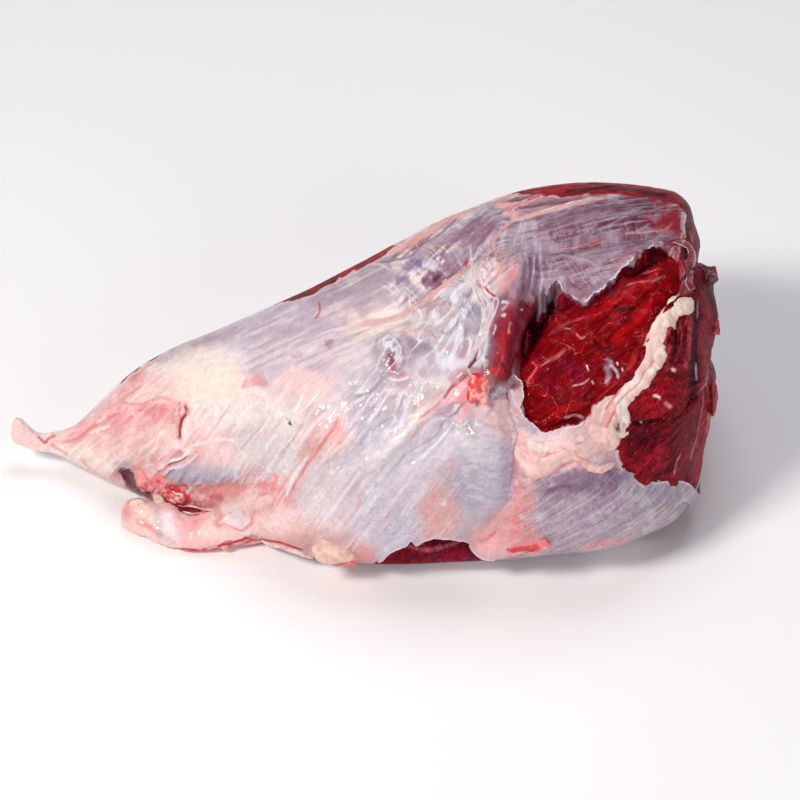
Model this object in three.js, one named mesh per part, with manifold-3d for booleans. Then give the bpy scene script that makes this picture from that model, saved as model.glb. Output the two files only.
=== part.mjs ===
// A boneless raw beef round, cut at the shank end: one piece of meat that lies on its flat side.
// Silverskin wraps the muscles and draws out at the heel to a tendon tail. A strap of the heel
// tendon lies in front of the tail end, and the skin is torn open over a pocket of lean.
// Units are millimetres, +Z is up, the tail points to -X and the broad show face looks to -Y.
import * as THREE from "three";
import { mergeVertices } from "three/addons/utils/BufferGeometryUtils.js";
import Module from "manifold-3d";

const wasm = await Module();
wasm.setup();

// ---- Driving sizes ---------------------------------------------------------------------------

const LENGTH = 286; // tail tip to cut end
const CAP_START = 266; // where the body begins to round over into the cut end
const TAIL_CAP = 3; // length of the rounded tail tip
const LEAN = 0.14; // how far each cross-section leans back as it rises, mm per mm
const WIDEST = 0.42; // height of a section's widest line, as a share of its height
const ROUND_TOP = 2.3; // superellipse power above the widest line
const SQUARE_BASE = 3.2; // and below it, where the meat sags out over the floor
const END_POWER = 3.2; // squareness of the cut end
const SHOW_TILT = THREE.MathUtils.degToRad(41); // how steeply the show face looks up
const FADE = 12; // depth over which the show face's relief dies out at its rim

// Cross-sections from the tail to the cut end. A bottom below zero is pressed flat on the floor.
const SECTIONS = [
  { x: 0, middle: 57, half: 3.4, top: 22, bottom: 11.5 },
  { x: 4, middle: 57, half: 4.2, top: 21, bottom: 10.5 },
  { x: 10, middle: 55, half: 3.3, top: 16, bottom: 9 },
  { x: 18, middle: 54.5, half: 3.8, top: 16, bottom: 8 },
  { x: 27, middle: 53, half: 7.5, top: 20, bottom: 6.5 },
  { x: 37, middle: 54.5, half: 14.5, top: 28, bottom: 3 },
  { x: 49, middle: 55.5, half: 22, top: 38, bottom: -1 },
  { x: 64, middle: 54, half: 29, top: 48, bottom: -3 },
  { x: 84, middle: 51, half: 34, top: 59, bottom: -3 },
  { x: 99, middle: 48, half: 42, top: 66, bottom: -3 },
  { x: 119, middle: 44, half: 51.5, top: 76, bottom: -3 },
  { x: 145, middle: 46, half: 61, top: 87, bottom: -3 },
  { x: 179, middle: 54.5, half: 71, top: 98, bottom: -3 },
  { x: 215, middle: 61.5, half: 75.5, top: 106, bottom: -3 },
  { x: 245, middle: 65, half: 73, top: 107, bottom: -3 },
  { x: 262, middle: 69, half: 66, top: 105, bottom: -3 },
  { x: 276, middle: 75, half: 58, top: 99, bottom: -3 },
  { x: 286, middle: 76, half: 54, top: 92, bottom: 0 },
];

// Cross-sections of the heel strap, which lies on the floor and runs into the body.
const STRAP_SECTIONS = [
  { x: 47, middle: 20, half: 4, top: 8 },
  { x: 52, middle: 19, half: 7, top: 10.5 },
  { x: 62, middle: 15, half: 9.5, top: 13 },
  { x: 74, middle: 11, half: 9.5, top: 12 },
  { x: 88, middle: 12, half: 10, top: 13.5 },
  { x: 104, middle: 16, half: 11, top: 15 },
  { x: 122, middle: 24, half: 9, top: 13 },
];

const BODY_RINGS = 82;
const BODY_SPOKES = 54;
const STRAP_RINGS = 14;
const STRAP_SPOKES = 14;
const END_CROWDING = 0.4; // how much closer the rings lie near the cut end than near the tail
const SHOW_CROWDING = 0.45; // how much closer the spokes lie on the show face than behind it
const SHOW_ANGLE = THREE.MathUtils.degToRad(172);

// ---- Smooth curves through the sections ------------------------------------------------------

// Value of one section size at x, on a cubic that passes through every section.
function along(sections, size, x) {
  const last = sections.length - 1;
  const at = THREE.MathUtils.clamp(x, sections[0].x, sections[last].x);
  let i = sections.findIndex((section) => section.x >= at) - 1;
  i = THREE.MathUtils.clamp(i, 0, last - 1);
  const slope = (k) => (sections[k + 1][size] - sections[k][size]) / (sections[k + 1].x - sections[k].x);
  const tangent = (k) => {
    if (k === 0) return slope(0);
    if (k === last) return slope(last - 1);
    const before = sections[k].x - sections[k - 1].x;
    const after = sections[k + 1].x - sections[k].x;
    return (slope(k - 1) * after + slope(k) * before) / (before + after);
  };
  const span = sections[i + 1].x - sections[i].x;
  const t = (at - sections[i].x) / span;
  const u = 1 - t;
  const start = (1 + 2 * t) * u * u * sections[i][size] + t * u * u * span * tangent(i);
  const finish = t * t * (3 - 2 * t) * sections[i + 1][size] - t * t * u * span * tangent(i + 1);
  return start + finish;
}

function smoothstep(low, high, value) {
  const t = THREE.MathUtils.clamp((value - low) / (high - low), 0, 1);
  return t * t * (3 - 2 * t);
}

// Distance from (a, b) to an open or closed line of points.
function distanceToLine(a, b, points, closed) {
  let best = Infinity;
  const count = closed ? points.length : points.length - 1;
  for (let i = 0; i < count; i += 1) {
    const [a0, b0] = points[i];
    const [a1, b1] = points[(i + 1) % points.length];
    const run = (a1 - a0) ** 2 + (b1 - b0) ** 2;
    const t = THREE.MathUtils.clamp(((a - a0) * (a1 - a0) + (b - b0) * (b1 - b0)) / run, 0, 1);
    best = Math.min(best, Math.hypot(a - a0 - t * (a1 - a0), b - b0 - t * (b1 - b0)));
  }
  return best;
}

function isInside(a, b, outline) {
  let inside = false;
  outline.forEach(([a0, b0], i) => {
    const [a1, b1] = outline[(i + 1) % outline.length];
    if (b0 > b !== b1 > b && a < a0 + ((b - b0) * (a1 - a0)) / (b1 - b0)) inside = !inside;
  });
  return inside;
}

// ---- Relief: what stands out of or sinks into the smooth body --------------------------------

// A rounded mound, or a dent when its height is below zero.
function mound(a, b, { at, size, turn = 0, height }) {
  const angle = THREE.MathUtils.degToRad(turn);
  const forward = (a - at[0]) * Math.cos(angle) + (b - at[1]) * Math.sin(angle);
  const across = (b - at[1]) * Math.cos(angle) - (a - at[0]) * Math.sin(angle);
  return height * Math.exp(-((forward / size[0]) ** 2) - (across / size[1]) ** 2);
}

// A ridge along a line of points, or a groove when its height is below zero.
function ridge(a, b, { line, width, height }) {
  return height * Math.exp(-((distanceToLine(a, b, line, false) / width) ** 2));
}

// A region sunk below the skin, whose wall slopes over the given width.
function hollow(a, b, { outline, wall, depth }) {
  if (!isInside(a, b, outline)) return 0;
  return -depth * smoothstep(0, wall, distanceToLine(a, b, outline, true));
}

// Places on the show face are [along the length, up the slanting face].
const SHOW_HOLLOWS = [
  // pocket of lean under the torn silverskin
  {
    outline: [
      [200, 70], [204, 78], [205, 86], [210, 95], [217, 108], [228, 101], [237, 106],
      [247, 114], [258, 110], [260, 99], [252, 84], [240, 70], [234, 62], [228, 54], [214, 50], [205, 57],
    ],
    wall: 10,
    depth: 9,
  },
  // gape under the front edge, where the skin stands off the floor
  { outline: [[152, -4], [163, 7], [174, 9], [186, 6], [186, -4]], wall: 4, depth: 7 },
];

const SHOW_RIDGES = [
  // rolled skin edge on the tail side of the pocket
  { line: [[205, 112], [203, 99], [199, 89], [196, 80], [192, 73]], width: 7, height: 5.5 },
  // deepest crease of the pocket, under that roll
  { line: [[216, 105], [209, 93], [205, 84], [202, 75]], width: 4.5, height: -5 },
  // seams between the muscles of the back, the shank and the heel
  { line: [[138, 91], [161, 95], [171, 104], [182, 113], [187, 118]], width: 4, height: -2.5 },
  { line: [[196, 121], [223, 123], [255, 128], [276, 132]], width: 4, height: -2.5 },
  { line: [[203, 46], [203, 38], [202, 28], [196, 15], [189, 6]], width: 4.5, height: -4 },
  { line: [[62, 31], [67, 27], [78, 26], [92, 28]], width: 4, height: -2 },
  // fat seam between the pocket and the end block of lean
  { line: [[264, 102], [255, 89], [251, 78], [243, 68], [241, 56]], width: 4, height: 3 },
  // step under the end block, where the skin of the lower muscle begins
  { line: [[240, 40], [247, 34], [259, 31], [277, 29]], width: 3.5, height: -3 },
  // slanting folds of the silverskin
  { line: [[134, 37], [144, 44], [157, 55], [164, 63]], width: 4, height: -2 },
  { line: [[157, 35], [168, 43], [178, 52], [187, 58]], width: 4, height: -2 },
  { line: [[146, 38], [160, 49], [172, 60]], width: 4, height: 1.5 },
];

const SHOW_MOUNDS = [
  { at: [242, 22], size: [34, 13], turn: 4, height: 5 }, // lower muscle, next to the floor
  { at: [222, 44], size: [13, 9], turn: 20, height: 2.5 }, // fat pad under the pocket
  { at: [268, 84], size: [12, 26], turn: -12, height: 2 }, // end block of lean
  { at: [233, 134], size: [34, 7], turn: 4, height: 3 }, // back muscle
  { at: [160, 112], size: [26, 8], turn: 32, height: 2.5 }, // shoulder of the back muscle
  { at: [84, 34], size: [22, 8], turn: 12, height: 3 }, // heel muscle
  { at: [48, 29], size: [5, 4], turn: -35, height: -5 }, // hole beside the heel tendon
  { at: [134, 3], size: [7, 5], height: 3 }, // knob of fat at the front edge
  { at: [188, 65], size: [4.5, 5], height: 4 }, // crumpled knob of tissue below the roll
  { at: [155, 79], size: [5, 6], height: 2 }, // blister in the skin
  { at: [279, 30], size: [7, 7], height: 3.5 }, // corner of the lower muscle
];

// Places behind are [along the length, height above the floor].
const BACK_RIDGES = [
  { line: [[66, 24], [120, 40], [190, 52], [272, 46]], width: 5, height: -4 },
  { line: [[150, 46], [180, 66], [215, 88]], width: 4, height: -3 },
];
const BACK_MOUNDS = [
  { at: [200, 28], size: [48, 16], height: 3 },
  { at: [150, 62], size: [28, 12], turn: 22, height: 2.5 },
];

// Places on the cut end are [across the section, height above the floor].
const END_RIDGES = [
  { line: [[22, 66], [52, 58], [78, 50], [128, 44]], width: 4, height: -3 },
  { line: [[78, 50], [86, 74], [84, 98]], width: 4, height: -3 },
];
const END_MOUNDS = [
  { at: [60, 26], size: [26, 16], height: 2 },
  { at: [104, 72], size: [18, 18], height: 2 },
  { at: [56, 80], size: [20, 13], height: 2 },
];

function reliefOf(a, b, hollows, ridges, mounds) {
  let height = 0;
  for (const item of hollows) height += hollow(a, b, item);
  for (const item of ridges) height += ridge(a, b, item);
  for (const item of mounds) height += mound(a, b, item);
  return height;
}

// ---- The body --------------------------------------------------------------------------------

// Share of the section that is left, and the place along the length, at one step from tip to end.
function profile(step) {
  const tipSteps = 0.03;
  const capSteps = 0.8;
  if (step < tipSteps) {
    const angle = (1 - step / tipSteps) * (Math.PI / 2);
    return { x: TAIL_CAP * (1 - Math.sin(angle)), share: Math.cos(angle) };
  }
  if (step <= capSteps) {
    const t = (step - tipSteps) / (capSteps - tipSteps);
    const crowded = t * (1 + END_CROWDING - END_CROWDING * t);
    return { x: TAIL_CAP + (CAP_START - TAIL_CAP) * crowded, share: 1 };
  }
  const angle = ((step - capSteps) / (1 - capSteps)) * (Math.PI / 2);
  const reach = (Math.cos(angle) ** END_POWER + Math.sin(angle) ** END_POWER) ** (-1 / END_POWER);
  return { x: CAP_START + (LENGTH - CAP_START) * reach * Math.sin(angle), share: reach * Math.cos(angle) };
}

// One point of the body's skin: step runs from the tail tip to the cut end, angle goes round
// from the back over the top to the front.
function bodyPoint(step, angle) {
  const { x, share } = profile(step);
  const middle = along(SECTIONS, "middle", x);
  const half = along(SECTIONS, "half", x);
  const top = along(SECTIONS, "top", x);
  const bottom = along(SECTIONS, "bottom", x);
  const level = bottom + WIDEST * (top - bottom);
  const cos = Math.cos(angle);
  const sin = Math.sin(angle);
  const power = sin >= 0 ? ROUND_TOP : SQUARE_BASE;
  const rise = sin >= 0 ? top - level : level - bottom;
  const radius = (Math.abs(cos / half) ** power + Math.abs(sin / rise) ** power) ** (-1 / power);

  // outward direction of the smooth section
  const outY = (Math.sign(cos) * Math.abs((radius * cos) / half) ** (power - 1)) / half;
  const outZ = (Math.sign(sin) * Math.abs((radius * sin) / rise) ** (power - 1)) / rise;
  const norm = Math.hypot(outY, outZ);

  const hub = 0.45 * (top + bottom);
  const smoothZ = level + radius * sin;
  const smoothY = middle + radius * cos + LEAN * (smoothZ - level);
  const y0 = middle + (smoothY - middle) * share;
  const z0 = Math.max(hub + (smoothZ - hub) * share, 0);

  // how far the point lies in front of the show face's rim
  const up = y0 * Math.sin(SHOW_TILT) + z0 * Math.cos(SHOW_TILT);
  const deep = y0 * Math.cos(SHOW_TILT) - z0 * Math.sin(SHOW_TILT);
  const rimUp = middle * Math.sin(SHOW_TILT) + level * Math.cos(SHOW_TILT);
  const rimDeep = middle * Math.cos(SHOW_TILT) - level * Math.sin(SHOW_TILT);
  const product = Math.sin(SHOW_TILT) * Math.cos(SHOW_TILT);
  const stretch = (Math.sin(SHOW_TILT) * half) ** 2 + (Math.cos(SHOW_TILT) * rise) ** 2;
  const rimSlope = (product * (half ** 2 - rise ** 2)) / stretch;
  const infront = rimDeep + rimSlope * (up - rimUp) - deep;

  const show = smoothstep(-FADE / 3, FADE, infront);
  const back = smoothstep(0, 2 * FADE, -infront) * smoothstep(0, FADE, z0);
  const skin = smoothstep(0, 0.7, share);
  let offset = show * reliefOf(x, up, SHOW_HOLLOWS, SHOW_RIDGES, SHOW_MOUNDS);
  offset += back * reliefOf(x, z0, [], BACK_RIDGES, BACK_MOUNDS);
  offset *= skin;
  const end = smoothstep(CAP_START, LENGTH, x) * (1 - smoothstep(0.75, 1, share));
  const swell = end * reliefOf(y0, z0, [], END_RIDGES, END_MOUNDS);
  const y = y0 + (offset * outY) / norm;
  const z = Math.max(z0 + (offset * outZ) / norm, 0);
  return [x + swell, y, z];
}

// ---- The heel strap --------------------------------------------------------------------------

// A flat-bottomed tendon with a soft wave along its upper side.
function strapPoint(step, angle) {
  const first = STRAP_SECTIONS[0].x;
  const last = STRAP_SECTIONS[STRAP_SECTIONS.length - 1].x;
  const capShare = 0.12;
  let share = 1;
  if (step < capShare) share = Math.sqrt(1 - (1 - step / capShare) ** 2);
  if (step > 1 - capShare) share = Math.sqrt(1 - (1 - (1 - step) / capShare) ** 2);
  const x = first + (last - first) * step;
  const middle = along(STRAP_SECTIONS, "middle", x);
  const half = along(STRAP_SECTIONS, "half", x);
  const top = along(STRAP_SECTIONS, "top", x);
  const wave = 1 + 0.1 * Math.sin(x / 3.4 + angle);
  const rise = Math.sin(angle) >= 0 ? 0.65 * top * wave : 0.5 * top;
  const y = middle + half * Math.cos(angle) * share;
  const z = Math.max(0.35 * top + rise * Math.sin(angle) * share, 0);
  return [x, y, z];
}

// ---- Meshes ----------------------------------------------------------------------------------

// Closed skin over a grid of points, whose first and last rings have shrunk to a single point.
function closedLoft(rings, spokes, angleOf, pointAt) {
  const positions = [];
  for (let i = 0; i <= rings; i += 1) {
    const count = i === 0 || i === rings ? 1 : spokes;
    for (let j = 0; j < count; j += 1) positions.push(...pointAt(i / rings, angleOf(j / spokes)));
  }
  const index = [];
  const vertex = (i, j) => {
    if (i === 0) return 0;
    if (i === rings) return 1 + (rings - 1) * spokes;
    return 1 + (i - 1) * spokes + (j % spokes);
  };
  for (let i = 0; i < rings; i += 1) {
    for (let j = 0; j < spokes; j += 1) {
      if (i > 0) index.push(vertex(i, j), vertex(i, j + 1), vertex(i + 1, j));
      if (i < rings - 1) index.push(vertex(i, j + 1), vertex(i + 1, j + 1), vertex(i + 1, j));
    }
  }
  const geometry = new THREE.BufferGeometry();
  geometry.setAttribute("position", new THREE.Float32BufferAttribute(positions, 3));
  geometry.setIndex(index);
  return mergeVertices(geometry, 1e-4);
}

function toSolid(geometry) {
  const vertProperties = new Float32Array(geometry.attributes.position.array);
  const triVerts = new Uint32Array(geometry.index.array);
  return new wasm.Manifold(new wasm.Mesh({ numProp: 3, vertProperties, triVerts }));
}

function toGeometry(solid) {
  const mesh = solid.getMesh();
  const geometry = new THREE.BufferGeometry();
  geometry.setAttribute("position", new THREE.Float32BufferAttribute(mesh.vertProperties, 3));
  geometry.setIndex(new THREE.Uint32BufferAttribute(mesh.triVerts, 1));
  return geometry;
}

// Moves a geometry so that its box stands centred on the origin, with its lowest point at zero.
function standOnOrigin(geometry) {
  geometry.computeBoundingBox();
  const { min, max } = geometry.boundingBox;
  geometry.translate(-(min.x + max.x) / 2, -(min.y + max.y) / 2, -min.z);
  geometry.computeVertexNormals();
  return geometry;
}

const showSide = (turn) => {
  const angle = 2 * Math.PI * turn;
  return angle - SHOW_CROWDING * Math.sin(angle - SHOW_ANGLE);
};
const body = toSolid(closedLoft(BODY_RINGS, BODY_SPOKES, showSide, bodyPoint));
const strap = toSolid(closedLoft(STRAP_RINGS, STRAP_SPOKES, (turn) => 2 * Math.PI * turn, strapPoint));

const silverskin = new THREE.MeshStandardMaterial({ color: "#dcc0c2", roughness: 0.35, metalness: 0 });
const beef = new THREE.Mesh(standOnOrigin(toGeometry(body.add(strap))), silverskin);
beef.name = "beef";

const group = new THREE.Group();
group.add(beef);

export default group;
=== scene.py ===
# %% [markdown]
# # Raw beef round
# A boneless piece from a hind leg, still wrapped in most of its silverskin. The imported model
# gives the plain solid and its size. It could be textured as it is, but its facets are
# coarse, so the same shape is worked out again here on a much finer grid, and the tissues
# that lie on it are laid over it as their own thin pieces.

import bpy
import numpy as np
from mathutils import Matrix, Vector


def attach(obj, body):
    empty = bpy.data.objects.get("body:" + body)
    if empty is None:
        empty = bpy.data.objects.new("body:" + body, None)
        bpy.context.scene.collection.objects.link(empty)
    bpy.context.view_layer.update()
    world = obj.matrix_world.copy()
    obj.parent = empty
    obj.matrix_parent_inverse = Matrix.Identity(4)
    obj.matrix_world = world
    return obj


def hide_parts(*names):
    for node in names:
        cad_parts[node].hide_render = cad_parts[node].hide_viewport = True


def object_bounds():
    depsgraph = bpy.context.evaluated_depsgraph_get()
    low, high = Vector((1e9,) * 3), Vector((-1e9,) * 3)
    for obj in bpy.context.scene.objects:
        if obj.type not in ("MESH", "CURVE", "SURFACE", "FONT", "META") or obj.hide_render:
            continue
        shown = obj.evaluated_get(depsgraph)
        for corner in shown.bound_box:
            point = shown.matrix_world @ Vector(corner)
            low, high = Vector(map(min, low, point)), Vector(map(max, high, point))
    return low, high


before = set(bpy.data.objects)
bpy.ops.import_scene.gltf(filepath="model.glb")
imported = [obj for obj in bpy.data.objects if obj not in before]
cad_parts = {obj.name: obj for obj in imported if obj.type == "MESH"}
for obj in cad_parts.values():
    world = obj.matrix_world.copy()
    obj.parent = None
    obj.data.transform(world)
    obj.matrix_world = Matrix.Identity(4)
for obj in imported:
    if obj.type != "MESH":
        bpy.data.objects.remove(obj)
cad_low, cad_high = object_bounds()
print("model box in mm:", [round(v * 1000, 1) for v in (*cad_low, *cad_high)])

# %% [markdown]
# ## Camera
# The piece is seen from in front and well above, from about a metre, so the camera comes
# first and every later cell can be judged through it.

# %% Camera
CAMERA_TILT = np.radians(41)
CAMERA_DISTANCE = 1.1
target = np.array([0.01516, -0.0198, 0.04674])
camera_data = bpy.data.cameras.new("Camera")
camera_data.lens = 124.7
camera_data.sensor_width = 36
camera = bpy.data.objects.new("Camera", camera_data)
camera.location = target + CAMERA_DISTANCE * np.array([0, -np.cos(CAMERA_TILT), np.sin(CAMERA_TILT)])
camera.rotation_euler = (np.pi / 2 - CAMERA_TILT, 0, 0)
bpy.context.scene.collection.objects.link(camera)
bpy.context.scene.camera = camera
print("camera at", [round(float(v), 3) for v in camera.location])

# %% [markdown]
# ## Small tools
# Soft edges, smooth lines, distances and noise are needed for every tissue. They could come
# from Blender's texture nodes alone, but shapes need them too, so they are numpy functions
# that work on whole arrays at once. Places are in millimetres.

# %% Soft edges and colours
def smooth(low, high, value):
    """Rises from 0 at low to 1 at high along 3t^2 - 2t^3, flat outside."""
    t = np.clip((value - low) / (high - low), 0, 1)
    return t * t * (3 - 2 * t)


def linear(code):
    """Linear colour of an sRGB hex code: each part to the power 2.4 after the standard offset."""
    parts = np.array([int(code[i : i + 2], 16) for i in (0, 2, 4)]) / 255
    return np.where(parts > 0.04045, ((parts + 0.055) / 1.055) ** 2.4, parts / 12.92)


# %% Smooth lines
def curve(points, per=8, closed=False):
    """Catmull-Rom line: between two points a cubic whose slope at each is half of the step
    from the point before to the point after. Gives per places for each span."""
    p = np.asarray(points, float)
    if closed:
        p = np.vstack([p[-1], p, p[:2]])
    else:
        p = np.vstack([2 * p[0] - p[1], p, 2 * p[-1] - p[-2]])
    t = np.linspace(0, 1, per, endpoint=False)[None, :, None]
    before, start, finish, after = (p[i : len(p) - 3 + i, None, :] for i in range(4))
    line = 0.5 * (
        2 * start
        + (finish - before) * t
        + (2 * before - 5 * start + 4 * finish - after) * t**2
        + (3 * start - before - 3 * finish + after) * t**3
    )
    line = line.reshape(-1, p.shape[1])
    return line if closed else np.vstack([line, p[-2]])


def spaced(points, count, per=8):
    """The same smooth line at count places that are equally far apart along it."""
    line = curve(points, per)
    run = np.concatenate([[0], np.cumsum(np.linalg.norm(np.diff(line, axis=0), axis=1))])
    wanted = np.linspace(0, run[-1], count)
    return np.stack([np.interp(wanted, run, line[:, k]) for k in range(line.shape[1])], axis=1)


# %% Distances
def follow(a, b, line):
    """Where each place (a, b) lies beside a line: its distance, how far along the line its
    nearest point is from 0 to 1, and its side, positive to the left of the line."""
    line = np.asarray(line, float)
    step = np.linalg.norm(np.diff(line, axis=0), axis=1)
    total = step.sum()
    gone = 0.0
    best = np.full(np.shape(a), np.inf)
    place = np.zeros(np.shape(a))
    side = np.ones(np.shape(a))
    for (a0, b0), (a1, b1), length in zip(line[:-1], line[1:], step):
        t = ((a - a0) * (a1 - a0) + (b - b0) * (b1 - b0)) / max(length**2, 1e-9)
        t = np.clip(t, 0, 1)
        away = np.hypot(a - a0 - t * (a1 - a0), b - b0 - t * (b1 - b0))
        turn = (a1 - a0) * (b - b0) - (b1 - b0) * (a - a0)
        nearer = away < best
        best = np.where(nearer, away, best)
        place = np.where(nearer, (gone + t * length) / total, place)
        side = np.where(nearer, np.sign(turn) + (turn == 0), side)
        gone += length
    return best, place, side


def beside(a, b, line, reach):
    """follow, but only for places within reach of the line's box. The rest count as far."""
    line = np.asarray(line, float)
    low, high = line.min(axis=0) - reach, line.max(axis=0) + reach
    near = (a > low[0]) & (a < high[0]) & (b > low[1]) & (b < high[1])
    away, place, side = np.full(a.shape, 9.0 * reach), np.zeros(a.shape), np.ones(a.shape)
    if near.any():
        away[near], place[near], side[near] = follow(a[near], b[near], line)
    return away, place, side


def within(a, b, outline):
    """Distance to a closed outline, positive inside it: a place is inside when a line from
    it crosses the outline an odd number of times. Beyond 13 mm outside it stays at -13."""
    outline = np.asarray(outline, float)
    ring = np.vstack([outline, outline[:1]])
    low, high = outline.min(axis=0) - 13, outline.max(axis=0) + 13
    near = (a > low[0]) & (a < high[0]) & (b > low[1]) & (b < high[1])
    distance = np.full(a.shape, -13.0)
    if near.any():
        x, y = a[near], b[near]
        odd = np.zeros(x.shape, bool)
        for (a0, b0), (a1, b1) in zip(ring[:-1], ring[1:]):
            if b1 != b0:
                odd ^= ((b0 > y) != (b1 > y)) & (x < a0 + (y - b0) * (a1 - a0) / (b1 - b0))
        away = follow(x, y, ring)[0]
        distance[near] = np.where(odd, away, -away)
    return distance


# %% Noise
LATTICE = np.random.default_rng(7).uniform(-1, 1, (32, 32, 32))


def cloud(x, y, z=0.0, size=1.0):
    """Smooth noise from -1 to 1: random values on a lattice with cells of the given size,
    blended between the eight corners of a cell with soft steps."""
    x, y, z = np.broadcast_arrays(np.asarray(x) / size, np.asarray(y) / size, np.asarray(z) / size)
    low = [np.floor(v).astype(np.int32) for v in (x, y, z)]
    part = [v - c for v, c in zip((x, y, z), low)]
    part = [v * v * (3 - 2 * v) for v in part]
    corners = [((c % 32) * step, ((c + 1) % 32) * step) for c, step in zip(low, (1024, 32, 1))]
    (x0, x1), (y0, y1), (z0, z1) = corners
    lines = []
    for row in (x0 + y0, x0 + y1, x1 + y0, x1 + y1):
        near, far = LATTICE.take(row + z0), LATTICE.take(row + z1)
        lines.append(near + part[2] * (far - near))
    left = lines[0] + part[1] * (lines[1] - lines[0])
    right = lines[2] + part[1] * (lines[3] - lines[2])
    return left + part[0] * (right - left)


def clouds(x, y, z=0.0, size=1.0, octaves=3):
    """Noise on noise: each layer has half the size and half the height of the one before."""
    return sum(0.5**k * cloud(x + 31 * k, y + 17 * k, z + 7 * k, size / 2**k) for k in range(octaves))


def streaks(a, b, turn, length, width, octaves=2, seed=0.0):
    """Noise drawn out along one direction: the place is turned by the angle, then divided by
    a long size along it and a short size across it."""
    angle = np.radians(turn)
    forward = a * np.cos(angle) + b * np.sin(angle)
    across = b * np.cos(angle) - a * np.sin(angle)
    return clouds(forward / length + seed, across / width, 3.7 + seed, 1.0, octaves)


print("tools ready, noise lattice of", LATTICE.size, "values")

# %% [markdown]
# ## The smooth body
# The meat is a long drop lying on its flat side: a thin tail of tendon, a swelling heel and a
# blunt cut end. It could be sculpted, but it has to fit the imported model, so it is a loft
# through the same cross-sections: superellipses that are squarer where they press on the
# floor. Places on the broad face that looks up at the camera are measured along the piece
# (a) and up the slanting face (b), which is how a butcher would point at them.

# %% Sections
LENGTH = 286.0
CAP_START = 266.0
TAIL_CAP = 3.0
LEAN = 0.14
WIDEST = 0.42
ROUND_TOP = 2.3
SQUARE_BASE = 3.2
END_POWER = 3.2
SHOW_TILT = np.radians(41)
FADE = 12.0

# place along the length, middle, half width, top and bottom of each cross-section
SECTIONS = np.array([
    [0, 57, 3.4, 22, 11.5], [4, 57, 4.2, 21, 10.5], [10, 55, 3.3, 16, 9], [18, 54.5, 3.8, 16, 8],
    [27, 53, 7.5, 20, 6.5], [37, 54.5, 14.5, 28, 3], [49, 55.5, 22, 38, -1], [64, 54, 29, 48, -3],
    [84, 51, 34, 59, -3], [99, 48, 42, 66, -3], [119, 44, 51.5, 76, -3], [145, 46, 61, 87, -3],
    [179, 54.5, 71, 98, -3], [215, 61.5, 75.5, 106, -3], [245, 65, 73, 107, -3],
    [262, 69, 66, 105, -3], [276, 75, 58, 99, -3], [286, 76, 54, 92, 0],
])


def along(sections, x):
    """Sizes at x on cubics through the sections. The slope at a section is the mean of the
    slopes beside it, each weighted by the other's span."""
    knots, values = sections[:, 0], sections[:, 1:]
    span = np.diff(knots)
    slope = np.diff(values, axis=0) / span[:, None]
    inner = (slope[:-1] * span[1:, None] + slope[1:] * span[:-1, None]) / (span[1:] + span[:-1])[:, None]
    tangent = np.vstack([slope[:1], inner, slope[-1:]])
    x = np.clip(x, knots[0], knots[-1])
    i = np.clip(np.searchsorted(knots, x) - 1, 0, len(span) - 1)
    t = ((x - knots[i]) / span[i])[..., None]
    width = span[i][..., None]
    u = 1 - t
    start = (1 + 2 * t) * u * u * values[i] + t * u * u * width * tangent[i]
    finish = t * t * (3 - 2 * t) * values[i + 1] - t * t * u * width * tangent[i + 1]
    return np.moveaxis(start + finish, -1, 0)


# %% Body surface
def end_share(x):
    """What is left of a section at x: all of it up to the cap, then a superellipse falls to 0."""
    reach = np.clip((x - CAP_START) / (LENGTH - CAP_START), 0, 1)
    return (1 - reach**END_POWER) ** (1 / END_POWER)


def smooth_body(x, share, angle):
    """Point and outward direction on the plain body. The angle goes round from the back over
    the top to the front. Radius = (|cos/half|^p + |sin/rise|^p)^(-1/p); the section leans
    back as it rises and shrinks about its hub by the share. Also gives the place b on the
    show face and how far the point lies in front of that face's rim."""
    middle, half, top, bottom = along(SECTIONS, x)
    level = bottom + WIDEST * (top - bottom)
    cos, sin = np.cos(angle), np.sin(angle)
    power = np.where(sin >= 0, ROUND_TOP, SQUARE_BASE)
    rise = np.where(sin >= 0, top - level, level - bottom)
    radius = (np.abs(cos / half) ** power + np.abs(sin / rise) ** power) ** (-1 / power)
    out_y = np.sign(cos) * np.abs(radius * cos / half) ** (power - 1) / half
    out_z = np.sign(sin) * np.abs(radius * sin / rise) ** (power - 1) / rise
    norm = np.hypot(out_y, out_z)
    hub = 0.45 * (top + bottom)
    high = level + radius * sin
    wide = radius * cos + LEAN * (high - level)
    y = middle + wide * share
    z = np.maximum(hub + (high - hub) * share, 0)
    up = y * np.sin(SHOW_TILT) + z * np.cos(SHOW_TILT)
    deep = y * np.cos(SHOW_TILT) - z * np.sin(SHOW_TILT)
    rim_up = middle * np.sin(SHOW_TILT) + level * np.cos(SHOW_TILT)
    rim_deep = middle * np.cos(SHOW_TILT) - level * np.sin(SHOW_TILT)
    product = np.sin(SHOW_TILT) * np.cos(SHOW_TILT)
    stretch = (np.sin(SHOW_TILT) * half) ** 2 + (np.cos(SHOW_TILT) * rise) ** 2
    infront = rim_deep + product * (half**2 - rise**2) / stretch * (up - rim_up) - deep
    return {
        "x": x + 0 * y, "y": y, "z": z, "out_y": out_y / norm, "out_z": out_z / norm,
        "a": x + 0 * y, "b": up, "infront": infront, "share": share + 0 * y,
    }


# %% [markdown]
# ## Relief of the body
# Under the skin the muscles swell and their seams sink, and the skin itself rolls, folds and
# tears. All of it could be bump in a material, but it shows at the outline and in raking
# light, so it is real height: mounds, ridges and hollows with the same places and sizes as in
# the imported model, and then finer ones of the same kinds.

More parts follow.
